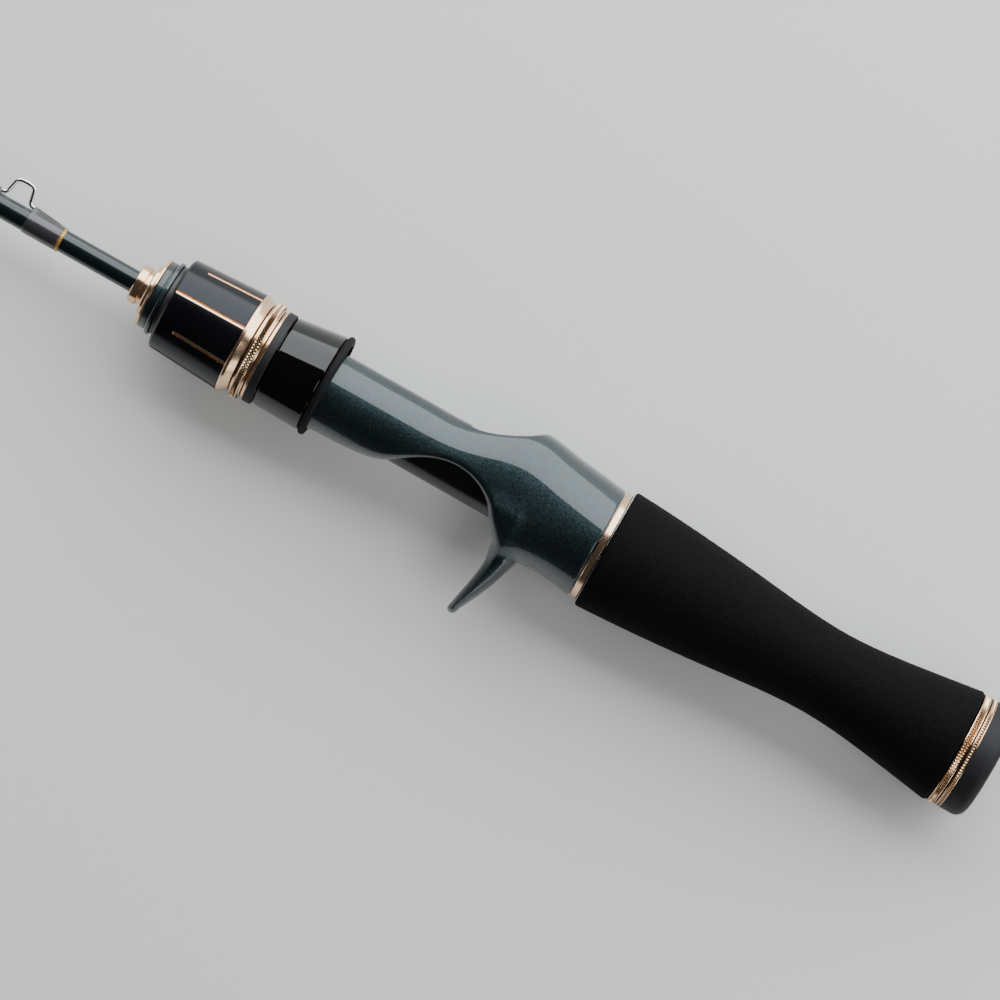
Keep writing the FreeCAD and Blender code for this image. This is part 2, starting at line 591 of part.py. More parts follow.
# ---- every piece ------------------------------------------------------------------------------------------------
keeper_wire = make_keeper()
keeper_wrap = make_keeper_wrap(keeper_wire)
pieces = {
    "blank": make_blank(),
    "ferrule_wrap": make_ferrule_wrap(),
    "ferrule_trim_front": make_trim(FERRULE_WRAP[0] - TRIM_LENGTH - 0.02, FERRULE_TRIM_R),
    "ferrule_trim_rear": make_trim(FERRULE_WRAP[1] + 0.02, FERRULE_TRIM_R),
    "hook_keeper": keeper_wire,
    "keeper_wrap_front": keeper_wrap.mirror(Vector(KEEPER_X, 0, 0), ALONG),
    "keeper_wrap_rear": keeper_wrap,
    "keeper_trim_front": make_trim(KEEPER_X - WRAP_FAR - TRIM_LENGTH - 0.02, TRIM_R),
    "keeper_trim_rear": make_trim(KEEPER_X + WRAP_FAR + 0.02, TRIM_R),
    "winding_check": make_winding_check(),
    "seat_end_cap": make_end_cap(),
    "seat_barrel": make_barrel(),
    "seat_core_tube": make_core_tube(),
    "seat_arbor_front": make_arbor((12.0, 48.0)),
    "seat_arbor_rear": make_arbor((84.0, 130.0)),
    "seat_body": make_seat_body(),
    "seat_trim_ring": make_trim_ring(),
    "rear_grip": make_grip(),
    "butt_ring": make_butt_ring(),
    "butt_cap": make_butt_cap(),
    "butt_plug": make_plug(),
    "lock_nut": make_lock_nut(),
    "nut_collar": make_collar(),
    "nut_spacer": make_collar_web(),
    "nut_knurled_ring": make_knurled_ring(),
    "nut_plain_ring": make_plain_ring(),
    "nut_thrust_ring": make_thrust_ring(),
    "moving_hood": make_moving_hood(),
    "hood_lip": make_hood_lip(),
    "hood_snap_ring": make_snap_ring(),
}

os.makedirs("parts", exist_ok=True)
for name, shape in pieces.items():
    solid = shape.Solids[0] if len(shape.Solids) == 1 else shape
    solid.translate(PLACE)
    box = solid.BoundBox
    print(f"{name:20s} solids {len(shape.Solids)} valid {solid.isValid()} volume {solid.Volume:9.1f} "
          f"x {box.XMin:8.2f} {box.XMax:8.2f} y {box.YMin:7.2f} {box.YMax:7.2f} z {box.ZMin:7.2f} {box.ZMax:7.2f}")
    solid.exportStep(f"parts/{name}.step")
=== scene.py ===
"""Looks of a casting rod's handle section: blank, thread wraps, hook keeper, reel seat, foam grip and butt.

Lengths in the mesh code are millimetres in the rod's own frame: x along the rod from the front of the
winding check towards the butt, y the height on the reel's side, z sideways, and the rod's axis at
y = z = 0.
"""

import itertools
import math

import bmesh
import bpy
import numpy as np
from bpy.props import FloatProperty, FloatVectorProperty, IntProperty, PointerProperty
from mathutils import Matrix, Vector, noise


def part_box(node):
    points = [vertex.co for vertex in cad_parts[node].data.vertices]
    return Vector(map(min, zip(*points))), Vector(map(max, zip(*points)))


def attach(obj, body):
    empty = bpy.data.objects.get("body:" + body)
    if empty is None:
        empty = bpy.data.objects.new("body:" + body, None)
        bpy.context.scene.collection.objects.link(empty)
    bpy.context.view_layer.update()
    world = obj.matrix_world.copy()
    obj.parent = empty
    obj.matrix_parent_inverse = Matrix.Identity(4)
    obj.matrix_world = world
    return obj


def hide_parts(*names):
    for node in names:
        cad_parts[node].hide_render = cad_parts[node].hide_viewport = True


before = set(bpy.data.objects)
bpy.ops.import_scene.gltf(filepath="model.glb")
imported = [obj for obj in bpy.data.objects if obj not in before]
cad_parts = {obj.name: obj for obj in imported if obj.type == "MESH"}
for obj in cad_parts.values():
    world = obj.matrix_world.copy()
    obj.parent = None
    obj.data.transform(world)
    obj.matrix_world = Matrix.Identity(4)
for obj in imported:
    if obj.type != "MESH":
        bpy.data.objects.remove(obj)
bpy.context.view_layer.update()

bl_info = {
    "name": "Casting rod handle",
    "version": (1, 0, 0),
    "blender": (4, 5, 0),
    "location": "3D View > Sidebar > Rod",
    "description": "Builds the pieces, finishes and studio of a casting rod's handle section",
    "category": "Object",
}

MM = 0.001


def rod_origin():
    """Where the rod's own frame starts in the row's frame, in metres."""
    low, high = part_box("blank")
    return np.array([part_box("winding_check")[0].x, (low.y + high.y) / 2, (low.z + high.z) / 2])


ORIGIN = rod_origin()


def span(node):
    """The first and last x of a CAD node, in the rod's millimetres."""
    low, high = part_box(node)
    return (low.x - ORIGIN[0]) / MM, (high.x - ORIGIN[0]) / MM


def radius(node):
    """Half the sideways size of a CAD node, in millimetres."""
    low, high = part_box(node)
    return (high.z - low.z) / 2 / MM


# ---- sizes that the pieces share -----------------------------------------------------------------
GAP = 0.03                    # bond line between two fixed pieces
BLANK = span("blank")
BLANK_R = radius("blank")
SOCKET_R = 2.2
SOCKET_DEPTH = 35.0
BLANK_BORE_R = 1.75
CORE = span("seat_core_tube")
CORE_R = radius("seat_core_tube")
BODY = span("seat_body")
BED_Y = 10.4
HOOD = (40.05, 53.35)
HOOD_BORE_R = 11.05
LIP_END = span("hood_lip")[1]
NUT = span("lock_nut")
NUT_END = 30.3
TRIM_RING = span("seat_trim_ring")
GRIP = span("rear_grip")
BUTT_RING = span("butt_ring")
BUTT_CAP = span("butt_cap")
AROUND = 192                  # points round a large turned piece
TAPE_WIDTH = 0.9              # one turn of the core tube's winding tape


class RodLooks(bpy.types.PropertyGroup):
    """Colours and fine sizes of the rod that can be changed before the pieces are made."""

    seat_colour: FloatVectorProperty(
        name="Seat paint", description="Base colour of the metallic paint on the reel seat",
        subtype="COLOR", size=3, min=0, max=1, default=(0.020, 0.035, 0.039))
    blank_colour: FloatVectorProperty(
        name="Blank lacquer", description="Colour of the lacquer on the blank",
        subtype="COLOR", size=3, min=0, max=1, default=(0.0022, 0.0075, 0.0095))
    gold_colour: FloatVectorProperty(
        name="Champagne gold", description="Colour of the anodised rings",
        subtype="COLOR", size=3, min=0, max=1, default=(0.93, 0.64, 0.41))
    thread_colour: FloatVectorProperty(
        name="Metallic thread", description="Colour of the narrow thread bands",
        subtype="COLOR", size=3, min=0, max=1, default=(0.80, 0.47, 0.09))
    foam_colour: FloatVectorProperty(
        name="Grip foam", description="Colour of the rear grip",
        subtype="COLOR", size=3, min=0, max=1, default=(0.0014, 0.0014, 0.0016))
    floor_colour: FloatVectorProperty(
        name="Floor", description="Colour of the studio floor",
        subtype="COLOR", size=3, min=0, max=1, default=(0.62, 0.62, 0.61))
    flake_size: FloatProperty(
        name="Paint flake", description="Width of one metal flake in the seat's paint",
        unit="LENGTH", min=0.00005, max=0.001, default=0.00017, precision=5)
    foam_grain: FloatProperty(
        name="Foam grain", description="Width of one pebble of the foam's skin",
        unit="LENGTH", min=0.0001, max=0.002, default=0.00042, precision=5)
    thread_width: FloatProperty(
        name="Whipping thread", description="Width of one turn of the black whipping thread",
        unit="LENGTH", min=0.0001, max=0.001, default=0.00018, precision=5)
    groove_width: FloatProperty(
        name="Nut groove width", description="Width of the bright grooves along the lock nut",
        unit="LENGTH", min=0.0003, max=0.003, default=0.00085, precision=5)
    groove_depth: FloatProperty(
        name="Nut groove depth", description="Depth of the bright grooves along the lock nut",
        unit="LENGTH", min=0.0001, max=0.001, default=0.0004, precision=5)
    nut_knurls: IntProperty(
        name="Nut knurls", description="Diamonds round the nut's knurled ring", min=24, max=240, default=98)
    butt_knurls: IntProperty(
        name="Butt knurls", description="Diamonds round the butt ring", min=24, max=240, default=120)


# ---- mesh code -----------------------------------------------------------------------------------
def to_row(points):
    """Points in the rod's millimetres as metres in the row's frame."""
    return np.asarray(points, float) * MM + ORIGIN


def add_piece(name, points, faces, finishes, body, nodes=(), face_finish=None, sharp=35.0,
              normals=None):
    """One piece from points in the rod's millimetres, riding on a CAD body and standing for CAD nodes."""
    mesh = bpy.data.meshes.new(name)
    mesh.from_pydata(to_row(points).tolist(), [], [list(map(int, face)) for face in faces])
    for finish in finishes:
        mesh.materials.append(finish)
    if face_finish is not None:
        mesh.polygons.foreach_set("material_index", np.asarray(face_finish, np.int32))
    if normals is None:
        work = bmesh.new()
        work.from_mesh(mesh)
        bmesh.ops.recalc_face_normals(work, faces=work.faces)
        work.to_mesh(mesh)
        work.free()
    mesh.shade_smooth()
    if normals is None:
        mesh.set_sharp_from_angle(angle=math.radians(sharp))
    else:
        mesh.normals_split_custom_set_from_vertices(normals.tolist())
    mesh.validate()
    piece = bpy.data.objects.new(name, mesh)
    bpy.context.scene.collection.objects.link(piece)
    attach(piece, body)
    if nodes:
        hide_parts(*nodes)
    return piece


def rounded(corners, steps=5):
    """A closed outline of (x, radius, fillet) corners, with an arc at every corner that has a fillet."""
    count = len(corners)
    outline = []
    for i, (x, r, fillet) in enumerate(corners):
        here = Vector((x, r))
        before = Vector(corners[i - 1][:2]) - here
        after = Vector(corners[(i + 1) % count][:2]) - here
        if fillet <= 0:
            outline.append((x, r))
            continue
        half = before.angle(after) / 2
        setback = min(fillet / math.tan(half), before.length * 0.49, after.length * 0.49)
        arc_radius = setback * math.tan(half)
        middle = here + (before.normalized() + after.normalized()).normalized() * (arc_radius / math.sin(half))
        start = here + before.normalized() * setback - middle
        end = here + after.normalized() * setback - middle
        turn = start.angle_signed(end)
        for k in range(steps + 1):
            arm = start.copy()
            arm.rotate(Matrix.Rotation(-turn * k / steps, 2))
            outline.append(tuple(middle + arm))
    return outline


def turn_outline(outline, around=AROUND):
    """The points and faces of a closed (x, radius) outline turned about the rod's axis."""
    outline = np.asarray(outline, float)
    angles = np.arange(around) * 2 * np.pi / around
    x = np.repeat(outline[:, 0], around)
    r = np.repeat(outline[:, 1], around)
    a = np.tile(angles, len(outline))
    points = np.column_stack([x, r * np.cos(a), r * np.sin(a)])
    return points, grid_faces(len(outline), around, close_rows=True)


def grid_faces(rows, columns, close_rows=False, close_columns=True):
    """Quads of a grid of points stored row by row."""
    row = np.arange(rows if close_rows else rows - 1)
    column = np.arange(columns if close_columns else columns - 1)
    i, j = (v.ravel() for v in np.meshgrid(row, column, indexing="ij"))
    below, beside = (i + 1) % rows, (j + 1) % columns
    corners = (i * columns + j, i * columns + beside, below * columns + beside, below * columns + j)
    return np.column_stack(corners)


def join(*shapes):
    """Several (points, faces) shapes as one."""
    points, faces, start = [], [], 0
    for shape_points, shape_faces in shapes:
        points.append(np.asarray(shape_points, float))
        faces += [[start + int(i) for i in face] for face in shape_faces]
        start += len(shape_points)
    return np.vstack(points), faces


def curve_value(knots):
    """A smooth function through (x, value) knots that stays level beyond them."""
    xs, ys = (np.array(v, float) for v in zip(*knots))
    gaps = np.diff(xs)
    slopes = np.diff(ys) / gaps
    matrix = np.eye(len(xs))
    right = np.zeros(len(xs))
    for i in range(1, len(xs) - 1):
        matrix[i, i - 1:i + 2] = gaps[i - 1], 2 * (gaps[i - 1] + gaps[i]), gaps[i]
        right[i] = 6 * (slopes[i] - slopes[i - 1])
    bends = np.linalg.solve(matrix, right)

    def value(x):
        x = np.clip(x, xs[0], xs[-1])
        i = np.clip(np.searchsorted(xs, x) - 1, 0, len(xs) - 2)
        a = (xs[i + 1] - x) / gaps[i]
        b = 1 - a
        bend = ((a ** 3 - a) * bends[i] + (b ** 3 - b) * bends[i + 1]) * gaps[i] ** 2 / 6
        return a * ys[i] + b * ys[i + 1] + bend

    return value


def curve_points(knots, count):
    """Evenly spaced points on a smooth curve through (x, y) knots."""
    knots = np.asarray(knots, float)
    along = np.concatenate([[0], np.cumsum(np.linalg.norm(np.diff(knots, axis=0), axis=1))])
    t = np.linspace(0, along[-1], count)
    return np.column_stack([curve_value(list(zip(along, knots[:, i])))(t) for i in range(knots.shape[1])])


# ---- solids from fields --------------------------------------------------------------------------
def smooth_min(a, b, width):
    """The smaller of two fields, with their meeting rounded over a width."""
    h = np.maximum(width - np.abs(a - b), 0) / width
    return np.minimum(a, b) - h * h * width / 4


def smooth_max(a, b, width):
    """The larger of two fields, with their meeting rounded over a width."""
    return -smooth_min(-a, -b, width)


def between(value, low, high):
    """A field that is negative between two values."""
    return np.maximum(low - value, value - high)


def outline_distance(x, y, outline):
    """Distance from (x, y) to a closed outline, negative inside it."""
    points = np.asarray(outline, float)
    x, y = np.broadcast_arrays(x, y)
    best = np.full(x.shape, np.inf)
    inside = np.zeros(x.shape, bool)
    for (ax, ay), (bx, by) in zip(points, np.roll(points, -1, axis=0)):
        dx, dy = bx - ax, by - ay
        t = np.clip(((x - ax) * dx + (y - ay) * dy) / (dx * dx + dy * dy), 0, 1)
        best = np.minimum(best, (x - ax - t * dx) ** 2 + (y - ay - t * dy) ** 2)
        if dy:
            inside ^= ((ay > y) != (by > y)) & (ax + (y - ay) * dx / dy > x)
    return np.where(inside, -1, 1) * np.sqrt(best)


def gradient(field, points, reach=0.02):
    """The slope of a field at some points."""
    slopes = []
    for step in np.eye(3) * reach:
        slopes.append(field(*(points + step).T) - field(*(points - step).T))
    return np.column_stack(slopes) / (2 * reach)


def field_solid(field, low, high, step):
    """The points, quads and normals of the surface where a field is zero; it is negative inside."""
    axes = [np.arange(a, b + step, step) for a, b in zip(low, high)]
    x, y, z = np.ix_(*axes)
    values = np.broadcast_to(field(x, y, z), [len(a) for a in axes])
    inside = values < 0
    corners = list(itertools.product((0, 1), repeat=3))
    full = sum(inside[tuple(slice(c, n - 1 + c) for c, n in zip(corner, inside.shape))].astype(np.int8)
               for corner in corners)
    cells = np.argwhere((full > 0) & (full < 8))
    index = np.full(full.shape, -1)
    index[tuple(cells.T)] = np.arange(len(cells))
    total = np.zeros((len(cells), 3))
    hits = np.zeros(len(cells))
    for start, end in itertools.combinations(corners, 2):
        if sum(abs(a - b) for a, b in zip(start, end)) != 1:
            continue
        a = values[tuple((cells + start).T)]
        b = values[tuple((cells + end).T)]
        crossed = (a < 0) != (b < 0)
        share = np.where(crossed, a / np.where(crossed, a - b, 1), 0)[:, None]
        total += np.where(crossed[:, None], np.array(start) + share * (np.array(end) - start), 0)
        hits += crossed
    points = np.array(low) + (cells + total / hits[:, None]) * step
    faces = []
    for axis in range(3):
        u, v = (axis + 1) % 3, (axis + 2) % 3
        first = [slice(1, n - 1) for n in inside.shape]
        first[axis] = slice(0, inside.shape[axis] - 1)
        second = list(first)
        second[axis] = slice(1, inside.shape[axis])
        changed = inside[tuple(first)] != inside[tuple(second)]
        places = np.argwhere(changed) + [s.start for s in first]
        starts_inside = inside[tuple(places.T)]
        back_u, back_v = np.eye(3, dtype=int)[u], np.eye(3, dtype=int)[v]
        around = (places, places - back_u, places - back_u - back_v, places - back_v)
        quads = np.column_stack([index[tuple(cell.T)] for cell in around])
        quads[~starts_inside] = quads[~starts_inside][:, ::-1]
        faces.append(quads)
    faces = np.vstack(faces)
    for _ in range(3):
        points = settle(field, relax(points, faces), step)
    slopes = gradient(field, points)
    normals = slopes / np.maximum(np.linalg.norm(slopes, axis=1, keepdims=True), 1e-9)
    return points, faces, normals


def relax(points, faces):
    """Moves every point halfway to the middle of its neighbours."""
    total = np.zeros_like(points)
    count = np.zeros(len(points))
    for a, b in zip(faces.T, np.roll(faces, -1, axis=1).T):
        np.add.at(total, a, points[b])
        np.add.at(count, a, 1)
        np.add.at(total, b, points[a])
        np.add.at(count, b, 1)
    return points / 2 + total / count[:, None] / 2


def settle(field, points, step):
    """Puts points back on the surface where the field is zero."""
    for _ in range(2):
        slopes = gradient(field, points)
        size = np.maximum((slopes ** 2).sum(axis=1), 0.05)
        move = (field(*points.T) / size)[:, None] * slopes
        length = np.linalg.norm(move, axis=1, keepdims=True)
        points = points - move * np.minimum(1, step / np.maximum(length, 1e-9))
    return points


# ---- finishes ------------------------------------------------------------------------------------
class Value:
    """A node's output that can be used in Python sums; every sum adds a Math node."""

    def __init__(self, recipe, socket):
        self.recipe = recipe
        self.socket = socket

    def maths(self, operation, a, b):
        return self.recipe.function(operation, a, b)

    def __add__(self, other):
        return self.maths("ADD", self, other)

    def __radd__(self, other):
        return self.maths("ADD", other, self)

    def __sub__(self, other):
        return self.maths("SUBTRACT", self, other)

    def __rsub__(self, other):
        return self.maths("SUBTRACT", other, self)

    def __mul__(self, other):
        return self.maths("MULTIPLY", self, other)

    def __rmul__(self, other):
        return self.maths("MULTIPLY", other, self)

    def __truediv__(self, other):
        return self.maths("DIVIDE", self, other)

    def __pow__(self, other):
        return self.maths("POWER", self, other)


class Recipe:
    """One finish: a material whose nodes are added by name."""

    def __init__(self, name):
        self.material = bpy.data.materials.new(name)
        self.material.use_nodes = True
        self.tree = self.material.node_tree
        self.tree.nodes.clear()

    def node(self, kind, settings=None, sockets=None, output=0):
        """A node of a kind: its settings are made first, then its sockets filled or linked."""
        made = self.tree.nodes.new("ShaderNode" + kind)
        for key, value in (settings or {}).items():
            if key == "stops":
                for stop in range(len(value) - 2):
                    made.color_ramp.elements.new(0.5)
                for element, (place, colour) in zip(made.color_ramp.elements, value):
                    element.position = place
                    element.color = colour
            else:
                setattr(made, key, value)
        for key, value in (sockets or {}).items():
            if isinstance(value, Value):
                self.tree.links.new(value.socket, made.inputs[key])
            else:
                made.inputs[key].default_value = value
        return Value(self, made.outputs[output]) if len(made.outputs) else None

    def function(self, operation, a, b=0.0):
        """One Math node."""
        return self.node("Math", {"operation": operation}, {0: a, 1: b})

    def vector(self, operation, a, b):
        """One Vector Math node of two vectors."""
        return self.node("VectorMath", {"operation": operation}, {0: a, 1: b})

    def place(self):
        """Where a point of the piece is, in metres from the rod's own origin."""
        return self.vector("SUBTRACT", self.node("TexCoord", output="Object"), tuple(ORIGIN))

    def axes(self):
        """x, y and z of a point in the rod's frame, in metres."""
        split = self.node("SeparateXYZ", None, {"Vector": self.place()})
        return [Value(self, split.socket.node.outputs[i]) for i in range(3)]

    def noise(self, size, detail=2.0, roughness=0.5, distortion=0.0):
        """Noise from 0 to 1 whose features are about a size in metres."""
        return self.node("TexNoise", None, {"Vector": self.place(), "Scale": 1 / size, "Detail": detail,
                                            "Roughness": roughness, "Distortion": distortion})

    def ridges(self, size, detail=1.0):
        """Noise that changes only along the rod, as turning marks do."""
        x = self.axes()[0]
        sockets = {"W": x, "Scale": 1 / size, "Detail": detail}
        return self.node("TexNoise", {"noise_dimensions": "1D"}, sockets)

    def flakes(self, size):
        """A random colour for every cell of a size in metres, and its red as a value."""
        cells = self.node("TexVoronoi", None, {"Vector": self.place(), "Scale": 1 / size}, output="Color")
        return cells, self.node("SeparateColor", None, {"Color": cells})

    def mix(self, share, a, b):
        """A colour between two colours."""
        return self.node("Mix", {"data_type": "RGBA"}, {0: share, 6: a, 7: b}, output=2)

    def clamp(self, value, low, high, to_low=0.0, to_high=1.0):
        """A value brought from one range to another, and kept inside it."""
        return self.node("MapRange", None, {"Value": value, "From Min": low, "From Max": high,
                                            "To Min": to_low, "To Max": to_high})

    def bump(self, height, depth, strength=1.0, normal=None):
        """A normal from a height between 0 and 1 that stands for a depth in metres."""
        sockets = {"Height": height, "Distance": depth, "Strength": strength}
        if normal is not None:
            sockets["Normal"] = normal
        return self.node("Bump", None, sockets)

    def finish(self, sockets):
        """Ends the recipe with a Principled surface and gives back the material."""
        surface = self.node("BsdfPrincipled", None, sockets)
        self.node("OutputMaterial", None, {"Surface": surface})
        return self.material


def colour(rgb, light=1.0):
    """A colour socket's value from three numbers, made lighter or darker."""
    return (rgb[0] * light, rgb[1] * light, rgb[2] * light, 1.0)


def flake_paint(looks):
    """Dark green metallic paint: small flakes at many angles under a smooth clear coat."""
    r = Recipe("flake_paint")
    flakes, level = r.flakes(looks.flake_size)
    spread = r.vector("SUBTRACT", flakes, (0.5, 0.5, 0.5))
    spread = r.node("VectorMath", {"operation": "SCALE"}, {0: spread, "Scale": 0.26})
    tilted = r.vector("ADD", r.node("NewGeometry", output="Normal"), spread)
    tilted = r.node("VectorMath", {"operation": "NORMALIZE"}, {0: tilted})
    drift = r.noise(0.012, 2.0)
    base = looks.seat_colour
    tint = r.mix(level ** 2.0, colour(base, 0.75), colour([c * 1.35 + 0.006 for c in base]))
    tint = r.mix(r.clamp(drift, 0.35, 0.7, 0.0, 0.18), tint, colour(base, 0.6))
    return r.finish({"Base Color": tint, "Metallic": 0.95, "Roughness": r.clamp(level, 0.0, 1.0, 0.38, 0.46),
                     "Normal": tilted, "Coat Weight": 1.0, "Coat Roughness": 0.035, "Coat IOR": 1.5})


def blank_lacquer(looks):
    """Deep teal lacquer over graphite, with the faint slow waves of a dipped finish."""
    r = Recipe("blank_lacquer")
    wave = r.noise(0.004, 2.0)
    level = r.flakes(looks.flake_size * 0.6)[1]
    base = looks.blank_colour
    tint = r.mix(level ** 3.0, colour(base), colour([c * 2.0 + 0.002 for c in base]))
    return r.finish({"Base Color": tint, "Metallic": 0.6, "Roughness": 0.32, "Normal": r.bump(wave, 0.000012),
                     "Coat Weight": 0.75, "Coat Roughness": 0.03, "Coat IOR": 1.5})


def whipping_thread(looks):
    """Black whipping thread, turn beside turn, under a coat of epoxy, with a painted highlight on each turn's
    crest and painted shade in the grooves between turns.
    """
    r = Recipe("whipping_thread")
    x, y, z = r.axes()
    turn = r.function("ARCTAN2", z, y) / (2 * math.pi)
    strand = (x / looks.thread_width - turn) * math.pi
    ridge = r.function("ABSOLUTE", r.function("SINE", strand))
    fibre = r.noise(0.00009, 3.0, 0.6)
    # painted highlight and shade: the tint is lightest on each turn's crest and darkest in the grooves between
    # turns; fibre adds random tone
    tint = r.mix(ridge * 0.75 + fibre * 0.25, (0.004, 0.004, 0.005, 1), (0.026, 0.024, 0.028, 1))
    sag = r.noise(0.0022, 2.0)
    under = r.bump(ridge, 0.00003, 0.6, r.bump(sag, 0.00002))
    return r.finish({"Base Color": tint, "Roughness": r.clamp(ridge, 0.0, 1.0, 0.42, 0.28), "Normal": under,
                     "Coat Weight": 0.7, "Coat Roughness": 0.05, "Coat IOR": 1.52})


def metallic_thread(looks):
    """Twisted gold thread under epoxy, with painted shade in the troughs of the twist and painted glints on its
    crests.
    """
    r = Recipe("metallic_thread")
    x, y, z = r.axes()
    angle = r.function("ARCTAN2", z, y)
    twist = r.function("SINE", angle * 46 + x * 9000)
    glint = r.noise(0.00012, 2.0)
    share = r.clamp(twist * 0.5 + glint, 0.1, 1.2)
    # painted shade and painted glints: share darkens the twist's troughs and lightens its crests and the glint
    # specks
    tint = r.mix(share, colour(looks.thread_colour, 0.28), colour(looks.thread_colour, 1.15))
    return r.finish({"Base Color": tint, "Metallic": 0.9, "Roughness": r.clamp(share, 0.0, 1.0, 0.5, 0.26),
                     "Normal": r.bump(share, 0.00004, 0.8), "Coat Weight": 1.0, "Coat Roughness": 0.05})


def polished_gold(looks, name="polished_gold", marks=1.0, rough=0.17):
    """Champagne-gold anodised aluminium with fine turning marks."""
    r = Recipe(name)
    fine = r.ridges(0.00007, 2.0)
    wide = r.ridges(0.0006, 2.0)
    smear = r.noise(0.0035, 3.0)
    tint = r.mix(r.clamp(wide, 0.3, 0.7), colour(looks.gold_colour, 0.90), colour(looks.gold_colour, 1.0))
    deep = colour([c ** 1.5 for c in looks.gold_colour], 0.9)
    tint = r.mix(r.clamp(smear, 0.45, 0.8, 0.0, 0.35), tint, deep)
    return r.finish({"Base Color": tint, "Metallic": 1.0,
                     "Roughness": r.clamp(fine * 0.6 + smear * 0.4, 0.25, 0.75, rough * 0.75, rough * 1.35),
                     "Normal": r.bump(fine, 0.0000016 * marks)})


def knurled_gold(looks, name, peak, valley, sunk=False):
    """The same gold with painted shade in the hollows: darker where the radius lies nearer the valley than the
    peak, both radii in millimetres.
    """
    r = Recipe(name)
    x, y, z = r.axes()
    height = r.clamp((y * y + z * z) ** 0.5, valley * MM, peak * MM)
    worn = r.noise(0.0005, 2.0)
    # dark and light bound the heights over which the painted shade of the hollows fades to plain gold; worn
    # makes that edge uneven
    dark, light = (0.45, 0.9) if sunk else (0.15, 0.7)
    share = r.clamp(height + worn * 0.2, dark, light)
    # painted shade: near-black gold in the hollows, the plain gold on the peaks
    tint = r.mix(share, colour([c ** 2 for c in looks.gold_colour], 0.06), colour(looks.gold_colour))
    return r.finish({"Base Color": tint, "Metallic": 1.0, "Roughness": r.clamp(share, 0.0, 1.0, 0.42, 0.16),
                     "Normal": r.bump(worn, 0.000004)})


def polished_steel():
    """Polished stainless wire with faint drawing marks."""
    r = Recipe("polished_steel")
    marks = r.noise(0.0004, 3.0, 0.6, 0.4)
    tint = r.mix(marks, (0.62, 0.62, 0.63, 1), (0.80, 0.80, 0.79, 1))
    return r.finish({"Base Color": tint, "Metallic": 1.0, "Roughness": r.clamp(marks, 0.2, 0.8, 0.07, 0.16),
                     "Normal": r.bump(marks, 0.000002)})


def anodised_black():
    """Deep gloss black on turned aluminium."""
    r = Recipe("anodised_black")
    fine = r.ridges(0.00009, 1.0)
    patch = r.noise(0.006, 2.0)
    tint = r.mix(patch, (0.0012, 0.0012, 0.0018, 1), (0.0025, 0.0025, 0.0032, 1))
    return r.finish({"Base Color": tint, "Roughness": r.clamp(fine, 0.2, 0.8, 0.16, 0.24),
                     "Normal": r.bump(fine, 0.0000012), "Specular IOR Level": 0.34,
                     "Specular Tint": (0.86, 0.91, 1.0, 1)})


def mirror_black():
    """High-gloss black moulding with a faint orange peel."""
    r = Recipe("mirror_black")
    peel = r.noise(0.0016, 1.0)
    dust = r.noise(0.0002, 2.0)
    tint = r.mix(dust, (0.0008, 0.0008, 0.001, 1), (0.0016, 0.0016, 0.002, 1))
    return r.finish({"Base Color": tint, "Roughness": r.clamp(dust, 0.3, 0.8, 0.05, 0.09),
                     "Normal": r.bump(peel, 0.0000022), "Coat Weight": 0.75, "Coat Roughness": 0.02,
                     "Specular IOR Level": 0.08})


def lined_rubber():
    """Matte black ring with fine machined lines."""
    r = Recipe("lined_rubber")
    x, y, z = r.axes()
    angle = r.function("ARCTAN2", z, y)
    lines = r.function("SINE", angle * 150 + x * 5200)
    grain = r.noise(0.0003, 3.0)
    share = r.clamp(lines * 0.35 + grain, 0.1, 0.9)
    tint = r.mix(share, (0.0018, 0.0018, 0.002, 1), (0.006, 0.006, 0.007, 1))
    return r.finish({"Base Color": tint, "Roughness": r.clamp(share, 0.0, 1.0, 0.52, 0.68),
                     "Normal": r.bump(share, 0.00002, 0.7), "Specular IOR Level": 0.35})


def soft_rubber(name="soft_rubber", tone=1.0, rough=0.5, sheen=0.24):
    """Satin black rubber with a fine moulded skin."""
    r = Recipe(name)
    skin = r.noise(0.00022, 3.0, 0.55)
    handled = r.noise(0.007, 3.0)
    tint = r.mix(handled, colour((0.0045, 0.0045, 0.0055), tone), colour((0.009, 0.009, 0.0105), tone))
    worn = r.clamp(handled * 0.5 + skin * 0.5, 0.3, 0.7, rough, rough + 0.14)
    return r.finish({"Base Color": tint, "Roughness": worn, "Normal": r.bump(skin, 0.000012),
                     "Specular IOR Level": sheen})


def grip_foam(looks):
    """Fine-pored EVA foam: a matte pebbled skin with small open cells, with painted shade in the creases
    between pebbles and their tops painted lighter.
    """
    r = Recipe("grip_foam")
    pebble = r.node("TexVoronoi", {"feature": "SMOOTH_F1"},
                    {"Vector": r.place(), "Scale": 1 / looks.foam_grain, "Smoothness": 0.6})
    grit = r.noise(looks.foam_grain * 0.45, 3.0, 0.65)
    cells = r.node("TexVoronoi", None, {"Vector": r.place(), "Scale": 0.7 / looks.foam_grain})
    pores = r.clamp(cells, 0.05, 0.2)
    patch = r.noise(0.009, 3.0)
    base = looks.foam_colour
    # painted shade: each pebble's raised top is lighter and the creases between pebbles darker
    tint = r.mix(r.clamp(pebble, 0.1, 0.8), colour([c * 1.9 + 0.0006 for c in base]), colour(base, 0.55))
    tint = r.mix(r.clamp(grit, 0.5, 0.8, 0.0, 0.6), tint, colour([c * 2.6 + 0.003 for c in base]))
    tint = r.mix(r.clamp(patch, 0.4, 0.8, 0.0, 0.25), tint, colour(base, 0.6))
    height = (1 - pebble) * 0.55 + grit * 0.3 + pores * 0.25
    return r.finish({"Base Color": tint, "Roughness": r.clamp(grit, 0.2, 0.8, 0.86, 0.72),
                     "Normal": r.bump(height, 0.00014, 0.9), "Specular IOR Level": 0.07})


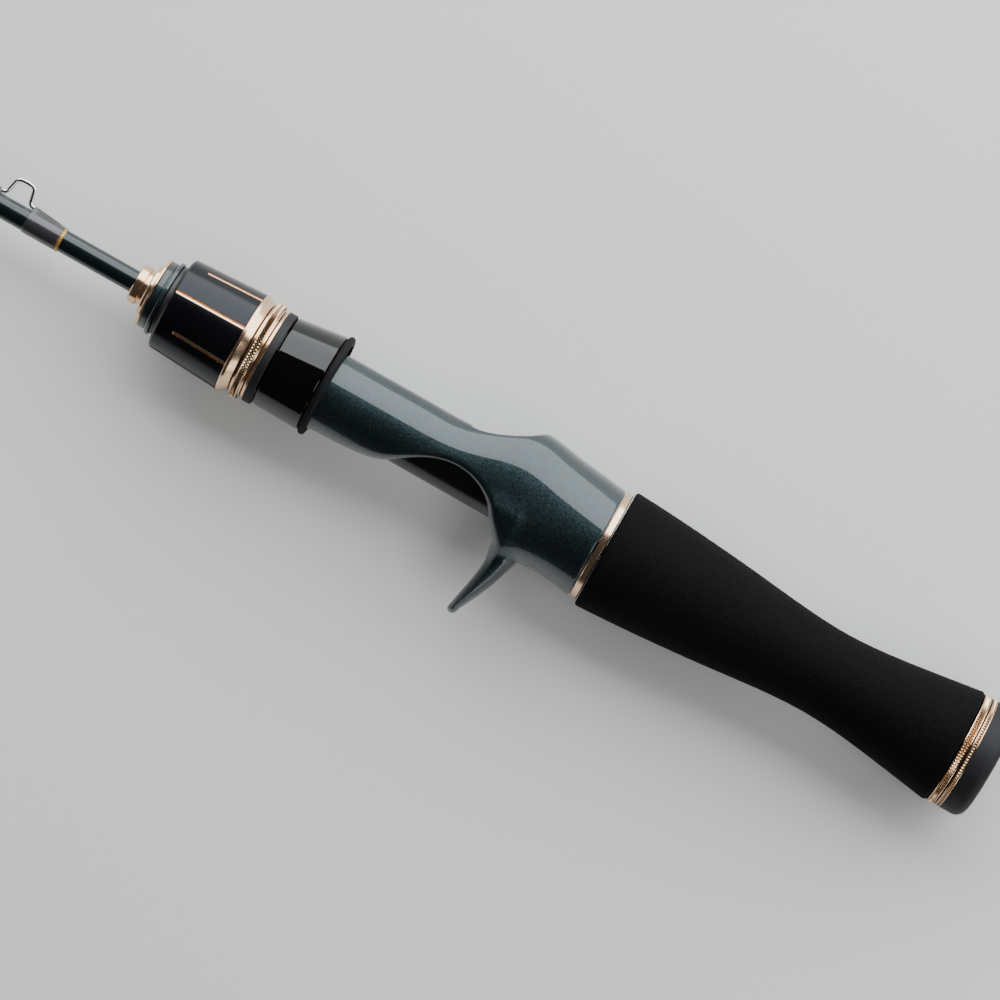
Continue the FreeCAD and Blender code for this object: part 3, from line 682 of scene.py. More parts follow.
def wound_tube():
    """Gloss black graphite tube with the cross lines of its winding tape."""
    r = Recipe("wound_tube")
    x, y, z = r.axes()
    turn = r.function("ARCTAN2", z, y) / (2 * math.pi)
    step = r.function("FRACT", x / (TAPE_WIDTH * MM) - turn)
    tape = r.function("ABSOLUTE", step - 0.5) * 2
    weave = r.noise(0.0003, 2.0)
    tint = r.mix(tape * 0.6 + weave * 0.4, (0.0015, 0.0015, 0.002, 1), (0.005, 0.005, 0.006, 1))
    return r.finish({"Base Color": tint, "Roughness": 0.24, "Normal": r.bump(tape, 0.00002, 0.5),
                     "Specular IOR Level": 0.3, "Coat Weight": 0.25, "Coat Roughness": 0.09, "Coat IOR": 1.5})


def moulded_black():
    """Satin black moulded plastic."""
    r = Recipe("moulded_black")
    skin = r.noise(0.0004, 3.0)
    patch = r.noise(0.008, 2.0)
    tint = r.mix(patch, (0.012, 0.012, 0.013, 1), (0.022, 0.022, 0.024, 1))
    return r.finish({"Base Color": tint, "Roughness": r.clamp(skin, 0.2, 0.8, 0.34, 0.5),
                     "Normal": r.bump(skin, 0.000008)})


def rigid_foam():
    """Pale rigid foam of the bushes inside the seat, with painted shade in the pit of every cell."""
    r = Recipe("rigid_foam")
    cells = r.node("TexVoronoi", None, {"Vector": r.place(), "Scale": 1 / 0.0005})
    # painted shade: the tint darkens towards each cell's middle, where the bump sinks a pit
    tint = r.mix(r.clamp(cells, 0.1, 0.6), (0.42, 0.38, 0.30, 1), (0.60, 0.57, 0.49, 1))
    return r.finish({"Base Color": tint, "Roughness": r.clamp(cells, 0.0, 0.6, 0.92, 0.8),
                     "Normal": r.bump(cells, 0.0001)})


def studio_floor(looks):
    """Plain pale floor with a barely uneven tone."""
    r = Recipe("studio_floor")
    cloud = r.noise(0.4, 2.0)
    tint = r.mix(cloud, colour(looks.floor_colour, 0.985), colour(looks.floor_colour, 1.0))
    return r.finish({"Base Color": tint, "Roughness": r.clamp(cloud, 0.3, 0.7, 0.72, 0.8),
                     "Specular IOR Level": 0.2})


# ---- pieces --------------------------------------------------------------------------------------
class RodOperator:
    """What the operators that make pieces share."""

    bl_options = {"REGISTER", "UNDO"}

    def execute(self, context):
        self.make(context.scene.rod_looks)
        return {"FINISHED"}

    def turned(self, name, outline, finish, body, slot, around=AROUND):
        """A piece turned about the rod's axis that stands for the CAD node of its name."""
        points, faces = turn_outline(outline, around)
        return add_piece(name, points, faces, [finish], body, [name])


class ROD_OT_blank(RodOperator, bpy.types.Operator):
    """Make the blank, and the thread round its tip socket"""

    bl_idname = "rod.make_blank"
    bl_label = "Blank"

    def make(self, looks):
        start, end = BLANK
        along = np.linspace(start + 1, end - 1, 70)
        corners = [(start, SOCKET_R, 0.08), (start, BLANK_R, 0.3)] + [(x, BLANK_R, 0) for x in along]
        corners += [(end, BLANK_R, 0.2), (end, BLANK_BORE_R, 0.1), (start + SOCKET_DEPTH, BLANK_BORE_R, 0),
                    (start + SOCKET_DEPTH, SOCKET_R, 0)]
        self.turned("blank", rounded(corners), blank_lacquer(looks), "rod", "blank_lacquer", 96)
        thread, metal = whipping_thread(looks), metallic_thread(looks)
        first, last = span("ferrule_wrap")
        r = radius("ferrule_wrap")
        along = np.linspace(first + 1.2, last - 1.2, 40)
        sag = [(x, r - 0.035 - 0.03 * math.sin(x * 1.1) * math.sin(x * 0.37), 0) for x in along]
        inner = BLANK_R + GAP
        corners = [(first, inner, 0), (first, r - 0.1, 0.09)] + sag + [(last, r - 0.1, 0.09), (last, inner, 0)]
        self.turned("ferrule_wrap", rounded(corners), thread, "rod", "black_thread", 96)
        for node in ("ferrule_trim_front", "ferrule_trim_rear"):
            self.turned(node, trim_outline(node), metal, "rod", "gold_thread", 96)


def trim_outline(node):
    """A narrow band of four strands side by side."""
    first, last = span(node)
    top, inner = radius(node), BLANK_R + GAP
    strands, relief = 4, 0.09
    strand = (last - first) / strands
    outline = [(first, inner)]
    for i in range(strands):
        for angle in np.linspace(math.pi, 0, 7)[:-1]:
            x = first + strand * (i + 0.5 + 0.5 * math.cos(angle))
            outline.append((x, top - relief + relief * math.sin(angle)))
    return outline + [(last, top - relief), (last, inner)]


class ROD_OT_keeper(RodOperator, bpy.types.Operator):
    """Make the hook keeper with the thread that holds its feet"""

    bl_idname = "rod.make_keeper"
    bl_label = "Hook keeper"

    wire_r = 0.55
    foot_y = BLANK_R + 0.15 + wire_r
    # x from the loop's middle, height, and the bend there
    bends = ((3.4, foot_y, 1.2), (2.35, 8.15, 1.3))
    arch = (0.0, 8.4, 11.0)
    # how high the feet are left standing, as x from the loop's middle and height
    ground = ((3.9, 4.6, 10.4), (4.4, 4.08, 3.36))
    # the ridge of thread over a foot: its height at the foot's two ends, and its radius
    crest = (4.22, 3.26)
    crest_r = 0.9
    wrap_columns = 128

    def make(self, looks):
        first, last = span("hook_keeper")
        middle = (first + last) / 2
        self.wire(middle, (last - first) / 2)
        thread, metal = whipping_thread(looks), metallic_thread(looks)
        for node, way in (("keeper_wrap_front", -1), ("keeper_wrap_rear", 1)):
            self.wrap(node, middle, way, thread)
        for node in ("keeper_trim_front", "keeper_trim_rear"):
            self.turned(node, trim_outline(node), metal, "rod", "gold_thread", 96)

    def wire(self, middle, reach):
        """The bent wire: foot, leg, arch, leg and foot, with the feet ground thinner towards rounded ends."""
        corners = [(-reach + self.wire_r, self.foot_y, 0)] + [(-x, y, bend) for x, y, bend in self.bends]
        corners += [self.arch, *self.bends[::-1], (reach - self.wire_r, self.foot_y, 0)]
        path = np.array(rounded(corners, 10))
        steps = np.linalg.norm(np.diff(path, axis=0), axis=1)
        dense = [path[0]]
        for a, b, length in zip(path[:-1], path[1:], steps):
            count = max(1, int(length / 0.3))
            dense += [a + (b - a) * k / count for k in range(1, count + 1)]
        path = np.array(dense)
        heading = np.gradient(path, axis=0)
        heading /= np.linalg.norm(heading, axis=1, keepdims=True)
        across = np.column_stack([-heading[:, 1], heading[:, 0]])
        caps = [(1 - math.cos(a), math.sin(a)) for a in np.linspace(0.15, math.pi / 2, 6)]
        ahead, beyond = heading[0] * self.wire_r, heading[-1] * self.wire_r
        rings = [(path[0] - ahead * (1 - back), across[0], size) for back, size in caps]
        rings += [(p, n, 1.0) for p, n in zip(path[1:-1], across[1:-1])]
        rings += [(path[-1] + beyond * (1 - back), across[-1], size) for back, size in caps[::-1]]
        around = 28
        angles = np.arange(around) * 2 * np.pi / around
        points = []
        for (px, py), (nx, ny), size in rings:
            out = self.wire_r * size * np.cos(angles)
            side = self.wire_r * size * np.sin(angles)
            from_middle = px + nx * out
            top = np.interp(np.abs(from_middle), *self.ground)
            y = py + ny * out
            y = np.where(np.abs(from_middle) > self.ground[0][0], np.minimum(y, top), y)
            points.append(np.column_stack([middle + from_middle, y, side]))
        points = np.vstack(points)
        faces = [list(f) for f in grid_faces(len(rings), around)]
        faces += [list(range(around))[::-1], list(range(len(points) - around, len(points)))]
        add_piece("hook_keeper", points, faces, [polished_steel()], "rod", ["hook_keeper"],
                  sharp=60)

    def wrap(self, node, middle, way, thread):
        """Thread wound over a foot: it bridges from the wire's crown to the blank and sinks along the foot."""
        first, last = span(node)
        base = BLANK_R + 0.29
        away = np.arange(0, last - first + 0.001, 0.15)
        angles = np.linspace(-np.pi, np.pi, self.wrap_columns + 1)[:-1]
        a = np.abs(angles)
        near = abs((first if way > 0 else last) - middle)
        points = []
        for s in away:
            share = s / (last - first)
            core = self.crest[0] + (self.crest[1] - self.crest[0]) * share ** 1.15 - self.crest_r
            bridge = math.acos(min(1.0, (base - self.crest_r) / core))
            crown = math.atan2(self.crest_r * math.sin(bridge), core + self.crest_r * math.cos(bridge))
            r = np.where(a < bridge, base / np.cos(a - bridge), base)
            sine = np.clip(core * np.sin(a), 0, self.crest_r)
            r = np.where(a < crown, core * np.cos(a) + np.sqrt(self.crest_r ** 2 - sine ** 2), r)
            edge = min(s / 0.7, (last - first - s) / 0.35, 1.0)
            thin = math.sqrt(max(edge, 0) * (2 - min(edge, 1)))
            r = r - (1 - thin) * 0.17
            lean = 0.2 * np.clip(np.cos(angles), 0, 1) ** 3 * max(0, 1 - s / 3)
            x = middle + way * (near + s + lean)
            points.append(np.column_stack([x, r * np.cos(angles), r * np.sin(angles)]))
        inner = BLANK_R + GAP
        for x in (last, first)[::way]:
            x = np.full(self.wrap_columns, x)
            points.append(np.column_stack([x, inner * np.cos(angles), inner * np.sin(angles)]))
        faces = grid_faces(len(points), self.wrap_columns, close_rows=True)
        add_piece(node, np.vstack(points), faces, [thread], "rod", [node], sharp=50)


class ROD_OT_front_rings(RodOperator, bpy.types.Operator):
    """Make the winding check and the end cap of the reel seat"""

    bl_idname = "rod.make_front_rings"
    bl_label = "Front rings"

    def make(self, looks):
        inner = BLANK_R + GAP
        check = [(0, inner, 0), (0, 4.75, 0.12), (0.32, 5.15, 0.12), (2.2, 5.15, 0.14), (2.5, 4.6, 0.1),
                 (3.4, 4.6, 0.1), (3.68, 6.45, 0.1), (3.98, 6.75, 0.12), (4.66, 6.75, 0.12),
                 (4.86, 6.45, 0.08), (4.92, 9.12, 0.06), (5.1, 9.35, 0.08), (5.5, 9.35, 0.08),
                 (5.65, 9.18, 0.06), (5.65, inner, 0)]
        self.turned("winding_check", rounded(check, 4), polished_gold(looks), "rod", "champagne_gold")
        first, last = span("seat_end_cap")
        cap = [(first, inner, 0), (first, 9.12, 0.06), (5.95, 9.25, 0.06), (7.3, 9.25, 0.1),
               (7.42, 8.98, 0.08), (7.72, 8.98, 0.08), (7.82, 9.88, 0.12), (8.05, 10.1, 0.12),
               (8.78, 10.1, 0.14), (last, 9.85, 0.08), (last, inner, 0)]
        self.turned("seat_end_cap", rounded(cap, 4), flake_paint(looks), "rod", "seat_paint")


def pyramid_ring(first, last, rows, diamonds, peak, valley, edge, inner, sunk=False):
    """A ring with a diamond knurl between plain edges: every diamond is a pyramid, raised or sunk."""
    columns = diamonds * 2
    step = 2 * math.pi / columns
    xs = np.linspace(first + edge, last - edge, rows + 1)
    plain = peak if sunk else peak - 0.05
    rings = [(first, inner), (first, plain - 0.12), (first + 0.04, plain - 0.04), (first + 0.12, plain),
             (first + edge, plain)]
    rims = len(rings)
    tip, ground = (valley, peak) if sunk else (peak, valley)
    rows_of_radii = [(x, [r] * columns) for x, r in rings]
    for j, x in enumerate(xs):
        tips = [(k + j) % 2 == 1 and 0 < j < rows for k in range(columns)]
        rows_of_radii.append((x, [tip if is_tip else ground for is_tip in tips]))
    rows_of_radii += [(last - (x - first), [r] * columns) for x, r in rings[::-1]]
    points = []
    for x, radii in rows_of_radii:
        points += [(x, r * math.cos(k * step), r * math.sin(k * step)) for k, r in enumerate(radii)]
    total = len(points) // columns
    lattice = range(rims, rims + rows)
    faces = []
    for i in range(total):
        if i in lattice:
            continue
        n = (i + 1) % total
        for k in range(columns):
            m = (k + 1) % columns
            faces.append([i * columns + k, i * columns + m, n * columns + m, n * columns + k])
    for j in range(rows):
        for k in range(columns):
            m = (k + 1) % columns
            a, b = (rims + j) * columns + k, (rims + j) * columns + m
            c, d = (rims + j + 1) * columns + m, (rims + j + 1) * columns + k
            if (k + j) % 2 == 1:
                faces += [[a, b, c], [a, c, d]]
            else:
                faces += [[a, b, d], [b, c, d]]
    return points, faces


class ROD_OT_lock_nut(RodOperator, bpy.types.Operator):
    """Make the lock nut and the rings behind it"""

    bl_idname = "rod.make_lock_nut"
    bl_label = "Lock nut"

    front_r = 12.4
    rear_r = 13.5
    chamfer = 0.5
    sleeve_r = 11.9
    bore = 10.45
    rear_bore = 11.15
    rear_bore_x = 25.6
    ring_bore = 11.93
    knurl = (13.2, 12.9)                # radii of the knurled ring's face and of its dimples
    grooves = 8
    first_groove = 14.5
    long_start = 10.95
    short_start = 15.0

    def make(self, looks):
        gold = polished_gold(looks)
        self.nut(looks, anodised_black(), polished_gold(looks, "groove_gold", 0.6, 0.12))
        collar = [(30.35, 13.42, 0.06), (30.56, 13.6, 0.08), (31.3, 13.6, 0.12), (33.3, 12.35, 0.1),
                  (33.5, 12.2, 0.05)]
        self.ring("nut_collar", collar, self.ring_bore, gold, "champagne_gold")
        self.ring("nut_spacer", [(33.5, 12.08, 0.04), (33.9, 12.08, 0.04)], 11.8, gold, "champagne_gold")
        first, last = span("nut_knurled_ring")
        points, faces = pyramid_ring(first, last, 4, looks.nut_knurls, *self.knurl, 0.24, self.ring_bore,
                                     sunk=True)
        dimpled = knurled_gold(looks, "knurl_gold", *self.knurl, sunk=True)
        add_piece("nut_knurled_ring", points, faces, [dimpled], "nut", ["nut_knurled_ring"],
                  sharp=12)
        self.ring("nut_plain_ring", [(36.02, 12.3, 0.05), (36.4, 12.15, 0.15), (37.1, 12.52, 0.3),
                                     (37.58, 12.55, 0.06)], self.ring_bore, gold, "champagne_gold")
        self.ring("nut_thrust_ring", [(37.6, 12.45, 0.08), (37.78, 12.6, 0.08), (39.6, 12.6, 0.08),
                                      (39.8, 12.42, 0.08)], self.ring_bore, lined_rubber(), "soft_black")

    def ring(self, name, corners, inner, finish, slot):
        outline = [(corners[0][0], inner, 0)] + corners + [(corners[-1][0], inner, 0)]
        self.turned(name, rounded(outline, 4), finish, "nut", slot)

    def nut(self, looks, black, bright):
        """The tapered nut on a grid whose columns follow the grooves' edges."""
        start, end = NUT[0], NUT_END
        half = looks.groove_width / MM / 2
        depth = looks.groove_depth / MM
        pitch = 2 * math.pi / self.grooves
        mean_r = (self.front_r + self.rear_r) / 2
        near = np.array([0, 0.4, 0.72, 0.86, 0.95, 1.0, 1.06, 1.2, 1.5, 2.0]) * half
        far = np.linspace(2.6 * half, pitch * mean_r / 2, 9)[:-1]
        side = np.concatenate([near, far])
        offsets = np.concatenate([-side[:0:-1], side, [pitch * mean_r / 2]]) / mean_r
        angles = np.concatenate([math.radians(self.first_groove) + i * pitch + offsets
                                 for i in range(self.grooves)])
        which = np.repeat(np.arange(self.grooves), len(offsets))
        across = np.tile(np.abs(offsets) * mean_r, self.grooves)
        groove_from = np.where(which % 2 == 0, self.long_start, self.short_start)
        xs = set(np.round(np.arange(start + self.chamfer, end + 1e-6, 0.35), 4)) | {end}
        for nose in (self.long_start, self.short_start):
            xs |= set(np.round(np.arange(nose - 0.1, nose + 2 * half, 0.06), 4))
        xs = np.array(sorted(x for x in xs if start + self.chamfer <= x <= end))

        def skin(x):
            """The nut's radius at every column, and how far each lies outside a groove."""
            slope = self.front_r + (self.rear_r - self.front_r) * (x - start) / (end - start)
            ahead = np.maximum(groove_from + half - x, 0)
            edge = np.hypot(ahead, across) - half
            sunk = np.interp(edge, [-0.16, -0.05, 0.0, 0.07], [depth, depth * 0.86, 0.06, 0.0])
            return slope - sunk, edge

        rows, edges = [], []
        for x, r in [(start, self.front_r - self.chamfer - 0.06),
                     (start + 0.06, self.front_r - self.chamfer + 0.03),
                     (start + self.chamfer * 0.55, self.front_r - self.chamfer * 0.42)]:
            rows.append((x, np.full(len(angles), r)))
            edges.append(np.ones(len(angles)))
        for x in xs:
            r, edge = skin(x)
            rows.append((x, r))
            edges.append(edge)
        last = rows[-1][1]
        for x, r in [(end, np.minimum(last - 0.02, 13.3)), (end, self.sleeve_r), (33.3, self.sleeve_r),
                     (33.4, self.sleeve_r - 0.1), (33.4, self.rear_bore), (self.rear_bore_x, self.rear_bore),
                     (self.rear_bore_x, self.bore), (start + 0.35, self.bore), (start, self.bore + 0.35)]:
            rows.append((x, np.broadcast_to(r, angles.shape)))
            edges.append(np.ones(len(angles)))
        points = np.vstack([np.column_stack([np.full(len(angles), x), r * np.sin(angles), r * np.cos(angles)])
                            for x, r in rows])
        faces = grid_faces(len(rows), len(angles), close_rows=True)
        edge = np.concatenate(edges)
        bright_face = (edge[faces].max(axis=1) < 0.02).astype(int)
        add_piece("lock_nut", points, faces, [black, bright], "nut", ["lock_nut"], bright_face,
                  sharp=32)


class ROD_OT_moving_hood(RodOperator, bpy.types.Operator):
    """Make the sliding hood and its soft lip"""

    bl_idname = "rod.make_moving_hood"
    bl_label = "Moving hood"

    pocket_x = 45.2
    pocket_half = 7.1
    pocket_floor = 8.0
    ceiling = (12.35, 13.3)             # heights of the pocket's roof at its two ends
    cushion = 0.45                      # thickness of the pad in the pocket
    wall = 0.95
    skirt_x = 33.95
    skirt_r = 11.7
    snap_groove = (35.0, 35.7)
    snap_r = 11.3
    key = (41.1, 52.85)
    key_half = 1.35
    key_r = 9.45
    rim_height = 1.0
    rim_r = 13.9
    pad_floor = 10.05

    def pocket(self, x, y, z, less):
        """The slot for the front of the reel's foot, its roof lowered and its sides drawn in by less."""
        share = (x - self.pocket_x) / (LIP_END + 1 - self.pocket_x)
        roof = self.ceiling[0] + (self.ceiling[1] - self.ceiling[0]) * share - less
        height, r = self.shell_circle(x)
        slot = smooth_max(smooth_max(np.abs(z) - (self.pocket_half - less), y - roof, 1.0),
                          np.maximum(self.pocket_x - x, self.pocket_floor - y), 0.3)
        return smooth_max(slot, np.hypot(y - height, z) - (r - self.wall - less), 0.5)

    def shell_circle(self, x):
        """Height of the shell's middle above the rod's axis, and its radius."""
        share = np.clip((x - 41.05) / (53.4 - 41.05), 0, 1.25)
        return 0.25 + 0.73 * share, 12.25 + 1.02 * share

    def shell(self, x, y, z):
        """The hood: a swelling shell off the axis, its skirt, bore, pocket and key."""
        height, r = self.shell_circle(x)
        outside = np.hypot(y - height, z) - r
        outside = smooth_max(outside, between(x, HOOD[0], HOOD[1]), 0.9)
        axis = np.hypot(y, z)
        skirt = np.maximum(axis - self.skirt_r, between(x, self.skirt_x, HOOD[0] + 1))
        solid = np.minimum(outside, skirt)
        solid = smooth_max(solid, HOOD_BORE_R - axis, 0.25)
        solid = smooth_max(solid, -self.pocket(x, y, z, 0.0), 0.3)
        snap = np.maximum(self.snap_r - axis, between(x, *self.snap_groove))
        solid = np.maximum(solid, -snap)
        key = np.maximum(np.maximum(np.abs(z) - self.key_half, between(x, *self.key)),
                         np.maximum(axis - HOOD_BORE_R - 0.4, np.maximum(y, self.key_r - axis)))
        return np.minimum(solid, key)

    def lip(self, x, y, z):
        """The soft rim with the pad that lines the pocket's roof and sides."""
        axis = np.hypot(y, z)
        rim = np.hypot(y - self.rim_height, z) - self.rim_r
        rim = smooth_max(rim, between(x, HOOD[1] + GAP, LIP_END), 1.2)
        pad = np.maximum(self.pocket(x, y, z, GAP), between(x, self.pocket_x + GAP, LIP_END - 0.6))
        pad = np.maximum(pad, self.pad_floor - y)
        solid = np.minimum(rim, pad)
        solid = smooth_max(solid, HOOD_BORE_R - axis, 0.25)
        return smooth_max(solid, -self.pocket(x, y, z, self.cushion), 0.3)

    def make(self, looks):
        step = 0.3
        points, faces, normals = field_solid(self.shell, (33.2, -14.0, -14.6), (54.2, 15.3, 14.6), step)
        add_piece("moving_hood", points, faces, [mirror_black()], "hood", ["moving_hood"],
                  normals=normals)
        points, faces, normals = field_solid(self.lip, (44.6, -14.0, -14.9), (56.1, 15.9, 14.9), step * 0.8)
        rubber = soft_rubber("lip_rubber", 0.5, 0.6, 0.15)
        add_piece("hood_lip", points, faces, [rubber], "hood", ["hood_lip"], normals=normals)


class ROD_OT_seat_body(RodOperator, bpy.types.Operator):
    """Make the body of the reel seat with its rear hood and trigger"""

    bl_idname = "rod.make_seat_body"
    bl_label = "Seat body"

    # x, top, bottom, half width and roundness of the body's sections
    sections = ((41.4, 10.9, 10.9, 10.9, 2), (50, 10.9, 10.9, 10.9, 2), (60, 10.9, 10.9, 10.9, 2),
                (70, 10.9, 10.9, 10.9, 2), (80, 10.9, 10.8, 10.8, 2), (88, 11.0, 10.9, 10.9, 2.1),
                (95, 13.2, 11.6, 11.6, 2.2), (102, 16.5, 12.8, 12.7, 2.3), (109, 17.9, 14.4, 13.6, 2.35),
                (117, 16.9, 14.05, 14.1, 2.25), (125, 15.85, 13.9, 14.3, 2.1), (132.75, 14.9, 14.9, 14.9, 2))
    mouth = ((91.5, 10.35), (95.0, 10.75), (100.0, 12.5), (105.0, 15.2), (109.0, 17.9))
    # the cut-out's upper edge runs on into the front of the trigger
    shared_edge = ((103.75, -4.5), (106.5, -8.2), (108.3, -10.5), (109.7, -12.7))
    window = ((58.0, -10.92), (65.0, -10.5), (70.0, -9.8), (75.0, -8.5), (80.0, -5.5), (85.0, -2.5),
              (90.0, -0.75), (94.0, -0.45), (98.0, -1.15), (101.25, -2.6)) + shared_edge
    window_rest = ((109.5, -14.5), (109.0, -17.0), (108.3, -21.5), (107.0, -26.0), (104.5, -36.0),
                   (56.5, -36.0), (56.5, -11.2))
    trigger_front = shared_edge + ((110.25, -15.0), (110.25, -18.5), (109.9, -21.5), (109.25, -25.0),
                                   (108.5, -28.6), (107.9, -31.6))
    trigger_tip = ((107.9, -31.6), (107.95, -32.6), (109.4, -33.17), (110.4, -32.3), (110.75, -31.25))
    trigger_rear = ((110.75, -31.25), (111.5, -29.75), (113.0, -26.75), (114.5, -23.3), (115.75, -19.9),
                    (116.8, -16.6), (117.5, -14.7))
    trigger_root = ((118.2, -11.0), (118.6, -2.5), (104.5, -2.5))
    # height and half width of the trigger
    trigger_side = ((-33.2, 4.4), (-29.0, 4.9), (-23.0, 5.2), (-15.5, 6.2), (-10.0, 8.0), (-4.0, 9.6))
    trigger_swell = 3.2
    # below this height the trigger's width closes as an ellipse: its square, at most and at least, and its rate
    tip_y = -29.0
    tip_most, tip_least, tip_rate = 24.0, 1.5, 1.1
    relief = 0.12
    relief_end = 56.0
    mouth_x = 91.5
    peak_x = 109.0
    open_above = -5.0                   # stands for no roof over the pocket
    pocket_end = 119.5
    pocket_half = 6.8
    pocket_roof = ((113.5, 119.5), (14.95, 12.9))
    # the roof starts here in the middle and at the sides: |z|, then x
    roof_start = ((4.7, 5.3), (108.0, 105.6))
    keyway_end = 71.6
    keyway_half = 1.5
    keyway_r = 9.25

    def prepare(self):
        """Turns the knots above into smooth functions and outlines."""
        columns = list(zip(*self.sections))
        self.shape = [curve_value(list(zip(columns[0], column))) for column in columns[1:]]
        self.mouth_height = curve_value(self.mouth)
        self.window_outline = [tuple(p) for p in curve_points(self.window, 40)] + list(self.window_rest)
        front = [tuple(p) for p in curve_points(self.trigger_front, 24)]
        tip = [tuple(p) for p in curve_points(self.trigger_tip, 12)][1:-1]
        rear = [tuple(p) for p in curve_points(self.trigger_rear, 18)]
        self.trigger_outline = front + tip + rear + list(self.trigger_root)
        self.trigger_half = curve_value(self.trigger_side)

    def trigger(self, x, y, z):
        """The finger hook: its side outline, swelling from every edge to its full width."""
        side = outline_distance(x, y, self.trigger_outline)
        square = self.tip_most - (self.tip_rate * (y - self.tip_y)) ** 2
        end = np.sqrt(np.maximum(square, self.tip_least))
        half = np.where(y > self.tip_y, self.trigger_half(y), end)
        swell = self.trigger_swell
        return (np.hypot(np.maximum(side + swell, 0) / swell, z / half) - 1) * swell

    def field(self, x, y, z):
        """The whole body, negative inside."""
        top, bottom, half, power = (f(x) for f in self.shape)
        radial = np.hypot(y, z) + 1e-9
        tall = np.where(y > 0, y / top, y / bottom)
        ratio = (np.abs(tall) ** power + np.abs(z / half) ** power + 1e-12) ** (1 / power)
        solid = radial * (1 - 1 / ratio)
        solid = smooth_max(solid, BODY[0] - x, 0.6)
        solid = smooth_min(solid, self.trigger(x, y, z), np.interp(x, [112.5, 116.5], [4.0, 0.7]))
        solid = smooth_max(solid, x - BODY[1], 0.7)
        bed = np.where(x < self.relief_end, BED_Y - self.relief, BED_Y)
        height = np.where(x < self.mouth_x, bed, self.mouth_height(x) + np.maximum(x - self.peak_x, 0) * 4)
        slope = np.interp(x, [self.mouth_x, 96.0, 100.0, self.peak_x], [1.0, 0.95, 0.88, 0.83])
        solid = smooth_max(solid, (y - height) * slope, np.interp(x, [104.0, 108.5], [0.7, 0.06]))
        roofed = x > np.interp(np.abs(z), *self.roof_start)
        roof = np.where(roofed, y - np.interp(x, *self.pocket_roof), self.open_above)
        pocket = smooth_max(smooth_max(np.abs(z) - self.pocket_half, roof, 1.2),
                            smooth_max(x - self.pocket_end, BED_Y - self.relief - y, 0.8), 0.8)
        solid = smooth_max(solid, -np.maximum(pocket, self.mouth_x - x), 0.6)
        solid = smooth_max(solid, -outline_distance(x, y, self.window_outline), 1.9)
        keyway = np.maximum(np.maximum(np.abs(z) - self.keyway_half, x - self.keyway_end),
                            np.maximum(self.keyway_r - radial, y))
        solid = smooth_max(solid, -keyway, 0.25)
        return smooth_max(solid, CORE_R + GAP - radial, 0.25)

    def make(self, looks):
        self.prepare()
        step = 0.52
        points, faces, normals = field_solid(self.field, (40.2, -34.4, -16.2), (134.0, 19.3, 16.2), step)
        add_piece("seat_body", points, faces, [flake_paint(looks)], "rod", ["seat_body"],
                  normals=normals)


class ROD_OT_core(RodOperator, bpy.types.Operator):
    """Make the tube inside the seat and the trim ring behind it"""

    bl_idname = "rod.make_core"
    bl_label = "Core tube and trim ring"

    def make(self, looks):
        first, last = CORE
        bore, chamfer, wave = 6.6, 0.05, 0.012
        outline = [(first, bore), (first, CORE_R - chamfer)]
        along = np.arange(first + 0.3, last - 0.3, 0.3)
        outline += [(x, CORE_R - wave + wave * math.cos(2 * math.pi * x / TAPE_WIDTH)) for x in along]
        outline += [(last, CORE_R - chamfer), (last, bore)]
        self.turned("seat_core_tube", outline, wound_tube(), "rod", "carbon_tube", 128)
        first, last = TRIM_RING
        r = radius("seat_trim_ring")
        inner = BLANK_R + GAP
        ring = [(first, inner, 0), (first, r - 0.22, 0.1), (first + 0.25, r, 0.12), (last - 0.25, r, 0.12),
                (last, r - 0.22, 0.1), (last, inner, 0)]
        self.turned("seat_trim_ring", rounded(ring, 4), polished_gold(looks), "rod", "champagne_gold")


class ROD_OT_grip(RodOperator, bpy.types.Operator):
    """Make the foam rear grip"""

    bl_idname = "rod.make_grip"
    bl_label = "Rear grip"

    side = ((135.9, 16.1), (145, 15.6), (157, 14.7), (171, 13.4), (184, 12.0), (198, 11.2), (211, 12.05),
            (223, 13.65), (234.5, 15.35))
    edge = 0.8
    skin_from = 9.0                     # only points further out than this get the foam's dents

    def make(self, looks):
        first, last = GRIP
        side = curve_value(self.side)
        xs = np.arange(first + self.edge, last - self.edge, 0.55)
        outline = [(first, BLANK_R + GAP)]
        front_r, rear_r = self.side[0][1] - self.edge, self.side[-1][1] - self.edge
        outline += [(first + self.edge - self.edge * math.cos(a), front_r + self.edge * math.sin(a))
                    for a in np.linspace(0, math.pi / 2, 8)[:-1]]
        outline += [(x, float(side(x))) for x in xs]
        outline += [(last - self.edge + self.edge * math.sin(a), rear_r + self.edge * math.cos(a))
                    for a in np.linspace(0, math.pi / 2, 8)]
        outline += [(last, BLANK_R + GAP)]
        points, faces = turn_outline(outline, 256)
        radial = np.hypot(points[:, 1], points[:, 2])
        for i in np.flatnonzero(radial > self.skin_from):
            x, y, z = points[i]
            slow = noise.noise((x * 0.9, y * 0.9, z * 0.9))
            quick = noise.noise((x * 2.6, y * 2.6, z * 2.6))
            points[i, 1:] *= 1 - max(0.005, 0.02 + 0.035 * slow + 0.02 * quick) / radial[i]
        grip = add_piece("rear_grip", points, faces, [grip_foam(looks)], "rod", ["rear_grip"],
                         sharp=50)


